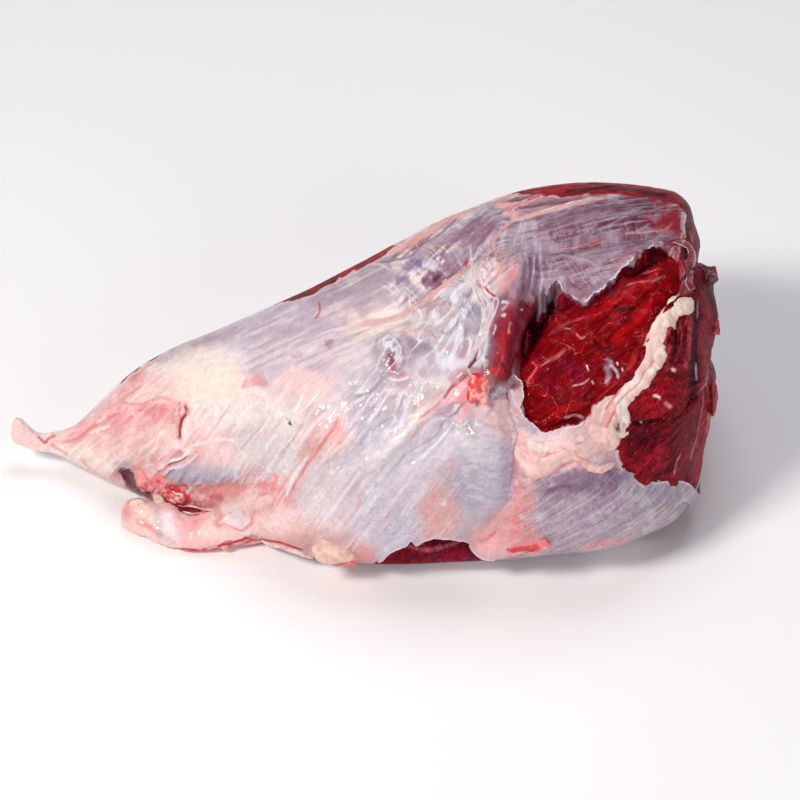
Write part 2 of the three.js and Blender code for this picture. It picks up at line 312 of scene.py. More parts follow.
# %% Kinds of relief
def mound(a, b, at, size, height, turn=0):
    """height * exp(-(forward/size0)^2 - (across/size1)^2), on axes turned by the angle."""
    angle = np.radians(turn)
    forward = (a - at[0]) * np.cos(angle) + (b - at[1]) * np.sin(angle)
    across = (b - at[1]) * np.cos(angle) - (a - at[0]) * np.sin(angle)
    return height * np.exp(-((forward / size[0]) ** 2) - (across / size[1]) ** 2)


def ridge(a, b, line, width, height, taper=0.0):
    """height * exp(-(distance/width)^2) beside a line, dying out over a share of its ends."""
    away, place, _ = beside(a, b, line, 3 * width)
    fade = 1.0
    if taper:
        fade = smooth(0, taper, place) * smooth(0, taper, 1 - place)
    return height * fade * np.exp(-((away / width) ** 2))


def creases(a, b, *lines):
    """Ridges along smooth lines, each given as its points, its width and its height."""
    return sum(ridge(a, b, curve(points, 5), width, height) for points, width, height in lines)


def hollow(a, b, outline, wall, depth):
    """Sunk by depth inside an outline, with a soft wall of the given width."""
    return -depth * smooth(0, wall, within(a, b, outline))


# %% Main relief
POCKET = curve([
    [200.5, 72], [202, 78], [204.5, 85], [207.5, 93], [210.9, 100.5], [216, 106.5], [219.2, 107],
    [222, 103.5], [228.4, 99.8], [236, 105], [244.9, 113], [252.8, 119.5], [258.8, 122.8], [265, 122],
    [269.4, 117], [269.2, 108], [266, 101], [261.5, 97.5], [256.5, 89], [252.5, 83], [249.8, 76],
    [244.7, 69.7], [238.2, 63.4], [233, 58.6], [230.8, 53.8], [222, 51.2], [214, 49.6], [208, 52.6],
    [204.3, 56], [204, 61], [204.5, 66],
], 4, closed=True)
GAPE = curve([
    [146, -6], [149, -1], [153, 3], [157, 5.8], [161, 7.4], [163.5, 9.2], [165.5, 7.4], [168, 9],
    [172, 10.4], [177, 10.8], [182, 9.8], [186, 7.6], [187, 4.4], [190, 2.2], [196, 1], [204, 0.4],
    [211, -1], [213, -8], [200, -30], [150, -30],
], 3, closed=True)

MAIN_RIDGES = [
    ([[205, 112], [203, 99], [199, 89], [196, 80], [192, 73]], 7, 5.5),
    ([[204, 107], [203, 99], [200, 91], [198.4, 83], [197.5, 76], [196, 70]], 4.2, 2.2),
    ([[138, 91], [161, 95], [171, 104], [182, 113], [187, 118]], 4, -2.5),
    ([[196, 121], [223, 123], [255, 128], [276, 132]], 4, -2.5),
    ([[198, 62], [202, 54], [203, 46], [203, 38], [202, 28], [196, 15], [189, 6]], 4, -3),
    ([[194, 52], [195, 42], [194, 30]], 7, 2.2),
    ([[62, 31], [67, 27], [78, 26], [92, 28]], 4, -2),
    ([[240, 40], [247, 34], [259, 31], [277, 29]], 3.5, -3),
    ([[134, 37], [144, 44], [157, 55], [164, 63]], 4, -2),
    ([[157, 35], [168, 43], [178, 52], [187, 58]], 4, -2),
    ([[146, 38], [160, 49], [172, 60]], 4, 1.5),
]
MAIN_MOUNDS = [
    ([242, 22], [34, 13], 5, 4),
    ([222, 44], [13, 9], 2.5, 20),
    ([268, 84], [12, 26], 2, -12),
    ([233, 134], [34, 7], 3, 4),
    ([160, 112], [26, 8], 2.5, 32),
    ([84, 34], [22, 8], 3, 12),
    ([48, 29], [5, 4], -5, -35),
    ([134, 3], [7, 5], 3, 0),
    ([188, 65], [4.5, 5], 4, 0),
    ([155, 79], [5, 6], 2, 0),
    ([279, 30], [7, 7], 3.5, 0),
]
BACK_RIDGES = [
    ([[66, 24], [120, 40], [190, 52], [272, 46]], 5, -4), ([[150, 46], [180, 66], [215, 88]], 4, -3),
]
BACK_MOUNDS = [([200, 28], [48, 16], 3, 0), ([150, 62], [28, 12], 2.5, 22)]
END_RIDGES = [([[22, 66], [52, 58], [78, 50], [128, 44]], 4, -3), ([[78, 50], [86, 74], [84, 98]], 4, -3)]
END_MOUNDS = [([60, 26], [26, 16], 2, 0), ([104, 72], [18, 18], 2, 0), ([56, 80], [20, 13], 2, 0)]


def pile(a, b, ridges, mounds):
    """Sum of all the ridges and mounds of a list."""
    height = sum(ridge(a, b, *item) for item in ridges)
    return height + sum(mound(a, b, *item) for item in mounds)


print("main relief:", len(MAIN_RIDGES), "ridges and", len(MAIN_MOUNDS), "mounds on the show face")

# %% [markdown]
# ## Folds, slits and grain of the skin
# Silverskin is thin and strong. Where it has slipped over the meat it gathers in bundles of
# fine folds, where it was pulled it stands in pleats, and here and there it is nicked down to
# the red. One list holds them all, because each fold is a shape and a colour at once: the
# same line raises or cuts the skin and tints it. The tint is partly the fold's own colour and
# partly painted light: pale painted highlights on raised crests, painted shade in grey grooves.

# %% Folds and slits
# line of places (a, b), half width and height in mm, tint, strength of the tint
FOLDS = [
    # tail: twist at the tip, tendon edge, lines that sweep up over the heel
    ([[11, 48.5], [14, 44.8], [16, 46.6], [19, 48]], 0.9, -1.0, "blood", 0.9),
    ([[16, 44.6], [20, 42], [24, 39.5]], 0.8, -0.7, "coral", 0.7),
    ([[14, 47], [23, 45.6], [28, 48], [34, 53.3], [40, 57.3], [46, 58.9], [53, 59.4]], 1.1, 0.8, "rose", 0.5),
    ([[20, 44.6], [28, 46], [34, 51], [41, 55], [48, 57]], 0.8, -0.5, "coral", 0.7),
    ([[33, 48], [37, 50], [43, 51.5]], 0.8, 0.6, "milk", 0.8),
    ([[36, 52.5], [41, 55.5]], 0.7, 0.5, "milk", 0.8),
    ([[29, 39], [33, 34], [38, 31]], 0.9, -0.7, "salmon", 0.7),
    ([[44.5, 61.3], [50, 60], [56, 60.2], [63.3, 62.6], [70, 62]], 0.8, 0.6, "coral", 0.6),
    ([[40, 62.5], [46, 66.5], [51, 72]], 1.0, 0.6, "rose", 0.7),
    ([[42, 59], [48, 63], [56, 68]], 0.7, -0.4, "coral", 0.5),
    # upright fold of the heel and the slit beside it
    ([[72.1, 61.5], [71, 57], [69.6, 51.4], [70.2, 45.9], [72, 41.5]], 1.7, 1.6, "milk", 0.5),
    ([[73.7, 61], [74.9, 57.4], [72.8, 54], [72.1, 50.5], [71.8, 45.5]], 0.75, -1.5, "blood", 0.95),
    ([[75.2, 61.4], [77.9, 59.8], [77.1, 57], [75.4, 56]], 0.8, 0.7, "cream", 0.8),
    # rim of the heel film
    ([[62.4, 33], [67, 37.6], [72.6, 39.6], [77, 43]], 0.8, 0.9, "milk", 0.9),
    ([[61.5, 31.4], [65.8, 36], [71, 38.2], [76, 40.5]], 0.6, -0.8, "blood", 0.75),
    ([[63, 31], [68, 35.3], [73, 36.8], [80, 41.5]], 0.7, 0.6, "pearl", 0.8),
    ([[72, 41.5], [78, 44.5], [86, 46.5], [96, 47]], 0.8, 0.4, "milk", 0.7),
    ([[61.9, 30.8], [64.4, 27.6], [68, 26], [72.3, 26.2], [75.5, 26.4]], 1.0, -0.9, "blood", 0.9),
    ([[65, 23.5], [69, 22], [73.5, 24.5]], 1.6, 0.9, "coral", 0.8),
    ([[68.5, 21.6], [72.5, 21], [75, 24.6]], 1.2, 0.6, "blood", 0.9),
    ([[77, 24.5], [79.5, 22], [82, 23.5]], 0.9, 0.5, "coral", 0.8),
    ([[80.3, 30], [78.8, 25.5]], 0.7, -0.4, "coral", 0.8),
    ([[89.8, 29.4], [86.8, 25.7]], 0.6, -0.4, "coral", 0.9),
    ([[92.7, 28.7], [90.5, 24.6]], 0.5, -0.3, "coral", 0.8),
    ([[96.8, 26.8], [96.2, 21.6]], 0.8, -0.3, "rose", 0.8),
    ([[83.8, 17.6], [86.4, 14], [89.3, 12.9], [91.7, 12.1], [96.4, 10.3], [97.7, 11.3]], 0.45, -0.5,
        "coral", 0.85),
    ([[99.4, 11.9], [100.4, 13.2], [100.6, 15.6], [103.1, 19.4]], 0.45, -0.5, "coral", 0.85),
    # folds that slant across the heel muscle
    ([[116.5, 24], [118.5, 29], [122, 35], [126, 40.5], [131, 47.5], [134, 52], [136.5, 57]], 0.75, -0.7,
        "coral", 0.95),
    ([[114.8, 24.5], [117, 30], [120.5, 36], [124.5, 41.5]], 0.9, 0.5, "milk", 0.7),
    ([[109, 27], [111, 31.5], [110, 34]], 1.0, 0.6, "coral", 0.8),
    ([[100, 46], [105, 51], [109, 56]], 0.7, 0.5, "milk", 0.8),
    ([[96, 42], [102, 48.5], [107, 54.5]], 0.6, -0.4, "dusk", 0.5),
    ([[106, 42], [111, 48], [116, 54.5], [119, 60]], 0.7, 0.45, "milk", 0.8),
    ([[112, 40], [117, 46], [122, 53]], 0.6, -0.35, "salmon", 0.6),
    ([[121, 46], [126, 52], [131, 58]], 0.8, 0.5, "milk", 0.7),
    ([[138, 50], [143, 56], [147, 62], [150, 66.5]], 0.8, 0.6, "pearl", 0.9),
    ([[141, 47.5], [147, 54], [152, 60], [155.8, 64.4]], 1.2, -0.7, "mist", 0.7),
    ([[146, 52], [151, 59], [155, 65], [157, 68]], 0.8, 0.7, "milk", 0.9),
    ([[152, 48], [156.1, 54.1], [160.3, 64], [161.5, 67.1]], 1.0, 0.8, "milk", 0.9),
    ([[155, 49], [159.6, 54.5], [162.5, 61.7], [165, 66], [167.2, 69.3]], 0.9, 0.8, "pearl", 0.8),
    ([[153.5, 50.5], [158.5, 58.5], [161.5, 64.5]], 1.0, -0.8, "mist", 0.8),
    ([[160, 50], [165, 57], [169, 63]], 0.8, 0.4, "blush", 0.6),
    ([[163, 47], [168, 52.5], [173.5, 57.5]], 0.9, -0.5, "salmon", 0.4),
    ([[157, 35], [164.5, 41], [171, 46], [176, 51.5]], 1.3, -0.7, "mist", 0.8),
    ([[165, 38], [171, 43.5], [176, 49], [180, 55]], 1.0, 0.7, "pearl", 0.8),
    ([[133.5, 36], [142, 42.5], [150, 50], [157, 56]], 1.3, -0.7, "mist", 0.75),
    ([[129, 38], [137, 45], [144, 52]], 0.9, 0.5, "milk", 0.6),
    ([[187, 60.2], [184, 58.8], [182, 55.8], [178, 54.5], [175, 50]], 1.2, -1.0, "mist", 0.9),
    ([[188.5, 58.5], [185.5, 56.5], [183.5, 53], [180, 51.5]], 0.9, 0.8, "pearl", 0.9),
    ([[181.6, 60.8], [179.5, 58], [176.5, 56]], 0.7, 0.7, "pearl", 0.9),
    # blister and its surroundings
    ([[150.6, 80], [150.8, 83.6], [153, 85.6], [156.6, 85.4], [158.8, 82], [159.8, 78], [158.9, 74.6]], 0.8,
        0.8, "pearl", 0.5),
    ([[152.6, 80.6], [153.6, 83.2], [156, 83.4]], 0.6, 0.6, "pearl", 0.8),
    ([[157, 82], [158, 79.4], [156.8, 76.8]], 0.6, 0.7, "pearl", 0.9),
    ([[153.8, 72.4], [157.7, 71.3], [161.9, 72.8]], 0.5, -0.5, "coral", 0.9),
    ([[154.2, 70.6], [158, 69.6], [163, 71]], 0.7, 0.5, "milk", 0.9),
    ([[153.6, 73.4], [151.2, 69.4], [148, 65.6], [141, 63]], 0.9, -0.7, "dusk", 0.8),
    ([[156.9, 85.9], [161.5, 88.2], [165.3, 88.8], [169.2, 88.2], [171.8, 85.8], [173.7, 83.1],
        [179.4, 80.4]], 0.9, 0.8, "salmon", 0.45),
    ([[162.3, 89.6], [165.7, 91], [169.2, 91.9], [172.2, 91]], 0.9, 0.6, "pearl", 0.6),
    ([[174.5, 88.9], [177.2, 87.4], [180.3, 90.5], [182.9, 92]], 0.8, -0.8, "dusk", 0.6),
    ([[180.2, 92.4], [182.6, 94.6], [183.8, 92.6], [182.4, 90], [180.4, 90.2]], 0.8, 0.7, "milk", 0.5),
    ([[177.9, 85], [180.6, 87.4]], 0.9, 0.8, "pearl", 0.7),
    ([[183.6, 83], [184.4, 88.5], [182.6, 93]], 1.2, -0.6, "dusk", 0.5),
    ([[177.7, 99.9], [178.8, 98.3]], 0.5, -0.5, "dusk", 0.6),
    ([[181.6, 100.6], [185, 97], [188.2, 90.4], [189, 86]], 0.9, -0.7, "steel", 0.7),
    ([[186.1, 99.4], [188, 95.4], [189.4, 91.4]], 0.5, -0.6, "dusk", 0.8),
    ([[187.4, 99.2], [189.2, 95.6], [190, 92.4]], 0.4, -0.5, "dusk", 0.7),
    # bundle that runs down from the oval muscle, and on along the roll
    ([[188.6, 107.8], [191.6, 104.9], [194.2, 102.1], [196.1, 99.7]], 0.8, -1.0, "blood", 1.0),
    ([[188.2, 106.2], [189.6, 101.8], [191.8, 97.8]], 0.45, -0.6, "coral", 0.9),
    ([[194.7, 106.9], [196.2, 108.6], [197.6, 110.8]], 0.6, -0.4, "coral", 0.8),
    ([[189.8, 80.4], [187.7, 76.9], [184.3, 73.5]], 0.8, -1.3, "wine", 1.0),
    ([[191.4, 78.6], [189.2, 76], [186.4, 73.4]], 0.8, 0.7, "pearl", 0.7),
    ([[184.8, 72.2], [181.8, 69.4], [179.7, 67.8], [177.8, 65.9], [175.4, 62]], 0.75, -0.8, "blood", 0.85),
    ([[175.4, 62], [172, 59], [166, 54.6]], 0.6, -0.5, "coral", 0.7),
    # oval muscle end, cords and seams of the back
    ([[203.4, 130.9], [199, 128.3], [196.1, 125.8], [195.6, 122.8], [198.6, 120.3]], 0.75, -0.9, "salmon",
        0.9),
    ([[198.6, 120.3], [197.2, 117.4], [198.4, 113.4]], 0.7, -0.7, "coral", 0.7),
    ([[198.4, 114.6], [203.9, 118.9], [206.7, 120.7], [211, 121.9], [223, 122.3]], 0.85, -0.6, "salmon", 0.9),
    ([[198.7, 111.8], [202.7, 115.6], [206.7, 118.4]], 0.7, -0.5, "plum", 0.6),
    ([[208, 121.4], [214, 121.9], [223, 122.3], [234.8, 124.4], [241.6, 126.6]], 0.4, 0.5, "coral", 0.8),
    ([[228, 123.2], [234, 124.2], [239, 125.8], [246, 127.6], [252, 128.2]], 0.32, 0.5, "blood", 0.8),
    ([[246, 127.6], [254, 128.6], [262, 129.8], [268, 133]], 0.5, 0.4, "coral", 0.6),
    ([[198.6, 129.4], [203, 130.7], [212.1, 132.9], [222, 135.6], [233.7, 139], [243, 140.6], [248, 142.6]],
        1.5, 1.2, "flesh", 0.85),
    ([[196.8, 138], [203.1, 138.2], [205, 137.4], [201.6, 134.9], [199.4, 132.8]], 1.3, 1.0, "rose", 0.9),
    ([[202.1, 135.6], [210.2, 139.9], [217, 143.6]], 1.4, 1.1, "rose", 0.85),
    ([[200.6, 131.6], [207.5, 134.3], [211, 134.5]], 1.3, -1.0, "plum", 0.8),
    ([[219.8, 119], [229.6, 116.5], [237.4, 111.5]], 0.8, 0.2, "mauve", 0.5),
    ([[209, 119.4], [209.8, 112.4], [208.8, 104.8], [207, 98]], 0.8, -0.6, "plum", 0.7),
    ([[211.7, 119.4], [213, 112.3], [212.3, 107.1], [211.2, 103]], 0.7, -0.5, "plum", 0.6),
    ([[206.4, 116], [207.6, 110.5], [206.8, 104.5]], 0.7, -0.5, "dusk", 0.6),
    # shoulder: cream band with its red end, cross bands, dark windows
    ([[138, 91], [146, 92.6], [157, 94.4], [162, 96.6], [167.3, 100.4], [173.2, 105.6], [177.9, 109.2],
        [181.8, 111.9], [184.1, 113.9], [187.2, 117.6]], 1.7, 0.8, "flesh", 0.9),
    ([[169, 102.2], [173.2, 105.9], [177.9, 109.5], [181.8, 112.3]], 0.5, 0.3, "coral", 0.6),
    ([[181.2, 112.6], [183.6, 115], [186, 118.4]], 0.7, -0.8, "blood", 0.9),
    ([[171.4, 105.4], [176.7, 109.8], [181.8, 113.4]], 0.55, -0.8, "wine", 0.8),
    ([[173.3, 115.4], [174.6, 116.8]], 0.6, 0.4, "milk", 0.9),
    ([[174.9, 114.2], [176.3, 115.9]], 0.6, 0.4, "milk", 0.9),
    ([[146.1, 115.1], [150.9, 114], [155.3, 110.5]], 0.6, 0.4, "milk", 0.45),
    ([[151.8, 104.8], [154.9, 103.5], [158, 101]], 0.5, 0.4, "milk", 0.45),
    ([[153.4, 106], [156.4, 104.6], [159.6, 102]], 0.5, 0.4, "milk", 0.45),
    ([[159.6, 103.6], [163, 102.2], [166, 100.6]], 0.5, 0.3, "milk", 0.45),
    ([[160.4, 105], [163.6, 103.6], [166.8, 102.2]], 0.5, 0.3, "milk", 0.45),
    ([[148.4, 116.3], [153.7, 115.2], [159.6, 115.8], [163.1, 116.6], [165.5, 119.5], [168.3, 123.3],
        [173.5, 126.6], [178.7, 130.3]], 0.7, -0.7, "plum", 0.8),
    ([[126.8, 100.4], [127.4, 97.5], [126.8, 95.5], [125.2, 93.6]], 0.5, -0.3, "blood", 0.8),
    # lower muscle and the seam beside it
    ([[203.4, 45], [202.7, 38], [203.2, 32.5], [204.6, 29.4], [202.6, 24.6]], 1.0, -0.9, "coral", 0.6),
    ([[204.9, 22], [199, 18], [194, 11], [188.5, 4.8]], 1.6, 1.0, "salmon", 0.8),
    ([[203.8, 14.5], [206.5, 11.5], [206, 8.4]], 1.4, 0.9, "coral", 0.6),
    ([[201, 5], [206.1, 7.9], [211.8, 7.9], [214.4, 9.6]], 1.5, 0.9, "coral", 0.95),
    ([[209, 6.6], [213, 6.4], [216.4, 7.6]], 1.2, 0.8, "blood", 0.7),
    ([[226.9, 4.9], [234.9, 8.5], [241.7, 9.6], [244.9, 7.3]], 1.3, 0.9, "coral", 0.6),
    ([[244.9, 7.3], [247.9, 13.9], [255.6, 16.5], [263, 19.6]], 0.9, 0.5, "salmon", 0.6),
    ([[211.7, 33.6], [218.9, 37.2], [225.3, 40]], 0.7, -0.9, "coral", 0.8),
    ([[213.8, 27.7], [219.1, 29.9], [225.5, 30.6]], 1.0, -0.6, "grape", 0.8),
    ([[216, 25.2], [222, 26.8], [228, 26]], 0.8, -0.4, "plum", 0.6),
    # rims and vessels near the lower edge
    ([[151, 1.5], [155.5, 2.6], [160, 5.4], [163.4, 8.3], [165.2, 6.6], [171, 9], [176, 9.8], [182, 8.6],
        [186, 6.6]], 0.9, 0.9, "rose", 0.7),
    ([[176, 35.4], [178.6, 36.4], [178.8, 38.6], [177, 39.6], [175.6, 38]], 0.5, 0.4, "coral", 0.6),
    ([[170, 20], [171.5, 24], [171, 27.6]], 0.7, 0.3, "coral", 0.5),
    ([[142, 21], [143.5, 24], [142.6, 27]], 0.6, 0.3, "coral", 0.5),
    ([[152, 14], [154.5, 17.6], [155.6, 21]], 0.5, -0.3, "coral", 0.5),
]
FOLDS = [(curve(line, 5), *rest) for line, *rest in FOLDS]
# strands of the bundle lie side by side between its two edges
BUNDLE = [curve(line, 5) for line in (
    [[188.8, 118.6], [186.2, 112.3], [186.4, 106.6], [189.2, 100.2], [191, 94.7], [190.1, 89.2],
        [188.6, 84], [186.2, 78.9], [184, 75]],
    [[191.8, 118], [190.2, 111.4], [190.5, 106.5], [192.9, 102.3], [195.8, 97.8], [195.4, 94],
        [193.2, 89.6], [190.8, 84], [188, 79.6]],
)]
STRANDS = [
    ("milk", 0, 0.6, 0.7), ("flesh", 1.3, 0.3, -0.5), ("milk", 2, 0.5, 0.5), ("salmon", 3, 0.25, -0.6),
    ("pearl", 3.8, 0.6, 0.6),
    ("coral", 5, 0.25, -0.6), ("milk", 5.9, 0.5, 0.6), ("flesh", 6.8, 0.3, -0.5), ("milk", 8, 0.5, 0.7),
]
for tint, k, width, tall in STRANDS:
    share = k / 8 + 0.16 * cloud(np.arange(len(BUNDLE[0])) / 5, k, 2, 1.3)[:, None]
    FOLDS.append((BUNDLE[0] * (1 - share) + BUNDLE[1] * share, width, tall, tint, 0.75))

# grain of the skin in each part: turn in degrees, length and width of a streak in mm, the part
# as low and high a, low and high b, height in mm, pale tint, dark tint, strength
GRAIN = [
    (54, 13, 1.1, (60, 150, 12, 60), 0.26, "milk", "salmon", 0.42),
    (24, 15, 1.1, (96, 162, 74, 113), 0.16, "milk", "mauve", 0.42),
    (43, 9, 1.1, (156, 196, 98, 138), 0.34, "milk", "grape", 0.8),
    (-38, 6, 1.0, (160, 196, 104, 136), 0.1, "milk", "plum", 0.3),
    (51, 16, 1.4, (138, 182, 6, 66), 0.24, "pearl", "mist", 0.4),
    (34, 12, 0.42, (203, 290, -5, 43), 0.16, "grey", "violet", 0.52),
    (-50, 1.6, 0.5, (203, 290, -5, 43), 0.05, "grey", "heath", 0.22),
    (-4, 3.5, 0.8, (184, 205, 20, 60), 0.1, "grey", "steel", 0.5),
    (46, 5, 0.45, (170, 185, 106, 120), 0.12, "lilac", "grape", 0.6),
    (-40, 4, 0.5, (170, 185, 106, 120), 0.12, "milk", "grape", 0.45),
    (11, 15, 0.6, (197, 290, 107, 155), 0.2, "mauve", "garnet", 0.72),
    (24, 9, 0.7, (212, 270, 108, 140), 0.1, "mauve", "garnet", 0.45),
    (-62, 5, 0.5, (212, 262, 104, 130), 0.05, "lilac", "plum", 0.26),
    (78, 10, 0.8, (200, 218, 98, 121), 0.2, "grey", "plum", 0.55),
    (35, 9, 1.2, (14, 66, 28, 84), 0.2, "cream", "coral", 0.34),
]
# glassy film that lies loose and wrinkled: low and high a, low and high b, strength
GLASSY = [
    (162, 193, 79, 105, 1.0), (150, 160, 70, 87, 0.9), (140, 176, 56, 71, 0.7), (172, 190, 50, 61, 1.0),
    (186, 196, 98, 122, 0.8), (184, 192, 70, 100, 0.6), (22, 64, 28, 68, 0.4), (60, 80, 20, 42, 0.5),
    (76, 112, 20, 40, 0.35), (100, 132, 44, 70, 0.25),
    (196, 208, 110, 132, 0.3), (192, 220, 0, 34, 0.12), (120, 140, -6, 10, 0.5),
]


def part(a, b, box, soft=6.0):
    """1 inside a box on the chart, falling softly to 0 across its edges."""
    a0, a1, b0, b1 = box
    sides = smooth(a0 - soft / 2, a0 + soft / 2, a) * (1 - smooth(a1 - soft / 2, a1 + soft / 2, a))
    return sides * smooth(b0 - soft / 2, b0 + soft / 2, b) * (1 - smooth(b1 - soft / 2, b1 + soft / 2, b))


def glassiness(a, b):
    """How loose and glassy the film is: the strongest of the parts listed above."""
    wa, wb = a + 2 * cloud(a, b, 8, 6), b + 2 * cloud(a, b, 12, 6)
    return np.maximum.reduce([strength * part(wa, wb, box, 5) for *box, strength in GLASSY])


def wrinkles(a, b, size):
    """Crests where noise crosses zero: 1 - |noise|, to a power, less its mean. The places are
    turned and drawn out along the folds, which run up the face and stand upright by the
    roll."""
    turn = np.radians(48 + 36 * smooth(170, 191, a))
    wa = a - 176 + 0.5 * size * cloud(a, b, 3, 2 * size)
    wb = b - 84 + 0.5 * size * cloud(a, b, 9, 2 * size)
    forward = wa * np.cos(turn) + wb * np.sin(turn)
    across = wb * np.cos(turn) - wa * np.sin(turn)
    crest = 1 - np.abs(clouds(forward / (2.4 * size), across / (0.8 * size), 5, 1, 2)) * 1.6
    return np.clip(crest, 0, 1) ** 2.5 - 0.35


def pleats(a, b):
    """Pleats of the heel film: how strongly a place belongs to them, and their wave."""
    away, place, side = beside(a, b, curve([[63, 30.5], [74, 28.4], [88, 28.8], [102, 30], [110, 33]], 4), 14)
    band = smooth(-1.5, 2, away * side) * (1 - smooth(4, 10, away))
    band = band * smooth(0, 0.08, place) * smooth(0, 0.1, 1 - place)
    slant = a - b / np.tan(np.radians(52)) + 3.4 * cloud(a, b, 2, 15)
    apart = 8.2 - 2.6 * smooth(66, 104, a)
    wave = np.sin(2 * np.pi * slant / apart) + 0.5 * np.sin(2 * np.pi * slant / 3.1 + 1.0)
    return band, 0.8 * wave * (0.75 + 0.5 * cloud(a, b, 14, 8))


def fine_relief(a, b):
    """Folds, pleats, grain and wrinkles, all as height in mm."""
    height = sum(ridge(a, b, line, width, tall, 0.12) for line, width, tall, _, _ in FOLDS)
    band, wave = pleats(a, b)
    height += 0.6 * band * wave
    for turn, length, width, box, tall, *_ in GRAIN:
        zone = part(a, b, box)
        if zone.max() > 0.01:
            height += tall * zone * streaks(a, b, turn, length, 1.6 * width, 2, seed=turn / 7)
    loose = glassiness(a, b)
    if loose.max() > 0.01:
        height += loose * (0.8 * wrinkles(a, b, 4.6) + 0.35 * wrinkles(a, b, 2.3))
    return height + 0.5 * clouds(a, b, 0, 17, 2) + 0.14 * clouds(a, b, 4, 3.2, 2)


print("folds and slits:", len(FOLDS), "and grain of", len(GRAIN), "parts")

# %% Where the lean lies bare
END_BLOCK = [
    [272.5, 103], [264.1, 100.3], [261.3, 91.3], [260, 86.6], [257.4, 81.6], [256.6, 77.4], [256.2, 74.7],
    [251.4, 70], [246.8, 65], [245.1, 62.9], [245.6, 58.7], [246, 53.4], [243, 48.4], [240.8, 43.4],
    [240.2, 41], [240.2, 37.5], [244.7, 34.1], [249.6, 32.1], [257.6, 29.6], [265.4, 29.7], [273.8, 28.1],
    [282, 25], [300, 20], [300, 150], [277, 143], [274.4, 134], [273.6, 124], [273.2, 116], [273.8, 108],
]
TOP_STRIP = [
    [106, 99], [109.5, 100.3], [117.5, 101.5], [124, 103.6], [129, 106], [135, 109.8], [140.5, 112.9],
    [146, 115.6], [154, 118.6], [158, 124], [142, 124], [128, 114], [112, 108],
]
BACK_STRIP = [
    [205, 144.6], [214, 143.4], [222, 142.6], [232, 143.6], [244, 143], [256, 142], [264, 140.6],
    [273, 138], [284, 133], [284, 160], [205, 160],
]
ROLL = [
    [188, 66], [204, 66], [206.5, 77], [209, 84.5], [212, 92], [215.5, 99], [219.4, 104.6], [214, 112],
    [200, 108],
]
HEEL_STRIP = [[46, 68], [52, 73.5], [60, 79.5], [66, 83.5], [62, 90], [46, 78]]

# line, half width and height in mm, colour and strength of marks on the bare end
LEAN_MARKS = [
    # painted shade darkens this crease
    ([[274.1, 65], [269.7, 60.6], [265.9, 57.9], [262.6, 55.6]], 2.0, -2.0, "24040a", 0.97),
    ([[276, 66], [275.4, 60.4], [272, 57]], 1.0, 0.6, "7c3038", 0.6),
    ([[274.7, 101.4], [274, 93.1], [273.4, 85], [273.8, 76.1], [272.2, 68.7], [271.4, 64.4]], 2.4, -1.0,
        "3c1624", 0.9),
    ([[275.1, 100.2], [274.4, 93.2]], 0.5, 0.4, "b090a0", 0.7),
    ([[274.2, 76.8], [273.9, 69.5]], 0.55, 0.5, "c8b4be", 0.8),
    ([[278.1, 68.8], [278.4, 59.8], [277.8, 48], [275.7, 43.3], [274.3, 38.2]], 0.6, 0.7, "b87c84", 0.8),
    ([[277.8, 48], [279, 43], [280, 38]], 0.6, 0.5, "a8606c", 0.7),
    ([[269, 42.4], [266.5, 38.4], [265.5, 34.1]], 0.6, 0.5, "bc747c", 0.7),
    # this crease and the next two are darkened with painted shade
    ([[245.6, 53.2], [252.4, 53.8], [261.8, 55.2]], 1.0, -1.3, "3c060e", 0.85),
    ([[257.6, 79.6], [258.6, 84], [260.6, 89.6]], 0.7, -0.6, "3a040c", 0.8),
    ([[263.8, 92.6], [264.8, 86], [263.6, 79]], 0.8, -0.9, "33030a", 0.85),
    ([[266.6, 92], [267.4, 86], [266, 79.6]], 0.5, 0.5, "a83a4a", 0.7),
    ([[271, 95], [271.2, 88], [270.6, 80], [268.2, 74]], 1.3, 0.9, "b84450", 0.8),
    ([[255.4, 64], [257, 64], [258.7, 62.9]], 0.7, 0.6, "ecc8c8", 0.85),
    ([[259.9, 61.7], [261.8, 60.6], [263.3, 59.4]], 0.9, 0.5, "e08c8c", 0.8),
    # this mark and the next three are painted glints
    ([[262.6, 74.2], [264.6, 73.6]], 0.8, 0.7, "f0e2e2", 0.95),
    ([[250.4, 54], [251.4, 53.4]], 0.5, 0.4, "f0dede", 0.9),
    ([[241.6, 40.8], [242, 39.8]], 0.6, 0.5, "f4e6e6", 0.95),
    ([[244.4, 35.8], [245, 35]], 0.5, 0.4, "f0dcdc", 0.9),
    ([[247.6, 69], [246.6, 66]], 0.5, 0.4, "d88890", 0.7),
    ([[278.6, 124], [279.4, 116], [281, 100], [280.6, 84]], 1.4, -0.6, "5e1c2a", 0.6),
    ([[281.6, 71], [281, 62], [280.4, 52]], 1.4, 0.6, "b4434a", 0.7),
    ([[222, 143.6], [232, 145.8], [243, 147], [256, 145.4], [270, 142]], 1.6, -0.8, "3c0610", 0.8),
    ([[60, 80], [55, 75.5], [50.4, 71.4]], 1.2, -0.5, "8c1a2c", 0.7),
]
LEAN_MARKS = [(curve(line, 5), *rest) for line, *rest in LEAN_MARKS]


def radiating(a, b):
    """Fibres of the bare end: they spread from its dark crease, so the noise is drawn out
    along the distance from there and squeezed along the angle about it."""
    away = np.hypot(a - 300, b - 76)
    turn = np.arctan2(b - 76, a - 300)
    return clouds(away / 9, turn * 26, 7.3, 1.0, 3)


OVAL = [
    [264.3, 95.2], [261.7, 90.9], [259.9, 85.5], [257, 79.7], [255.8, 74.7], [257.8, 72.4], [263.9, 74],
    [268.2, 79.8], [270.4, 87.2], [269.6, 93], [267.6, 95.3],
]


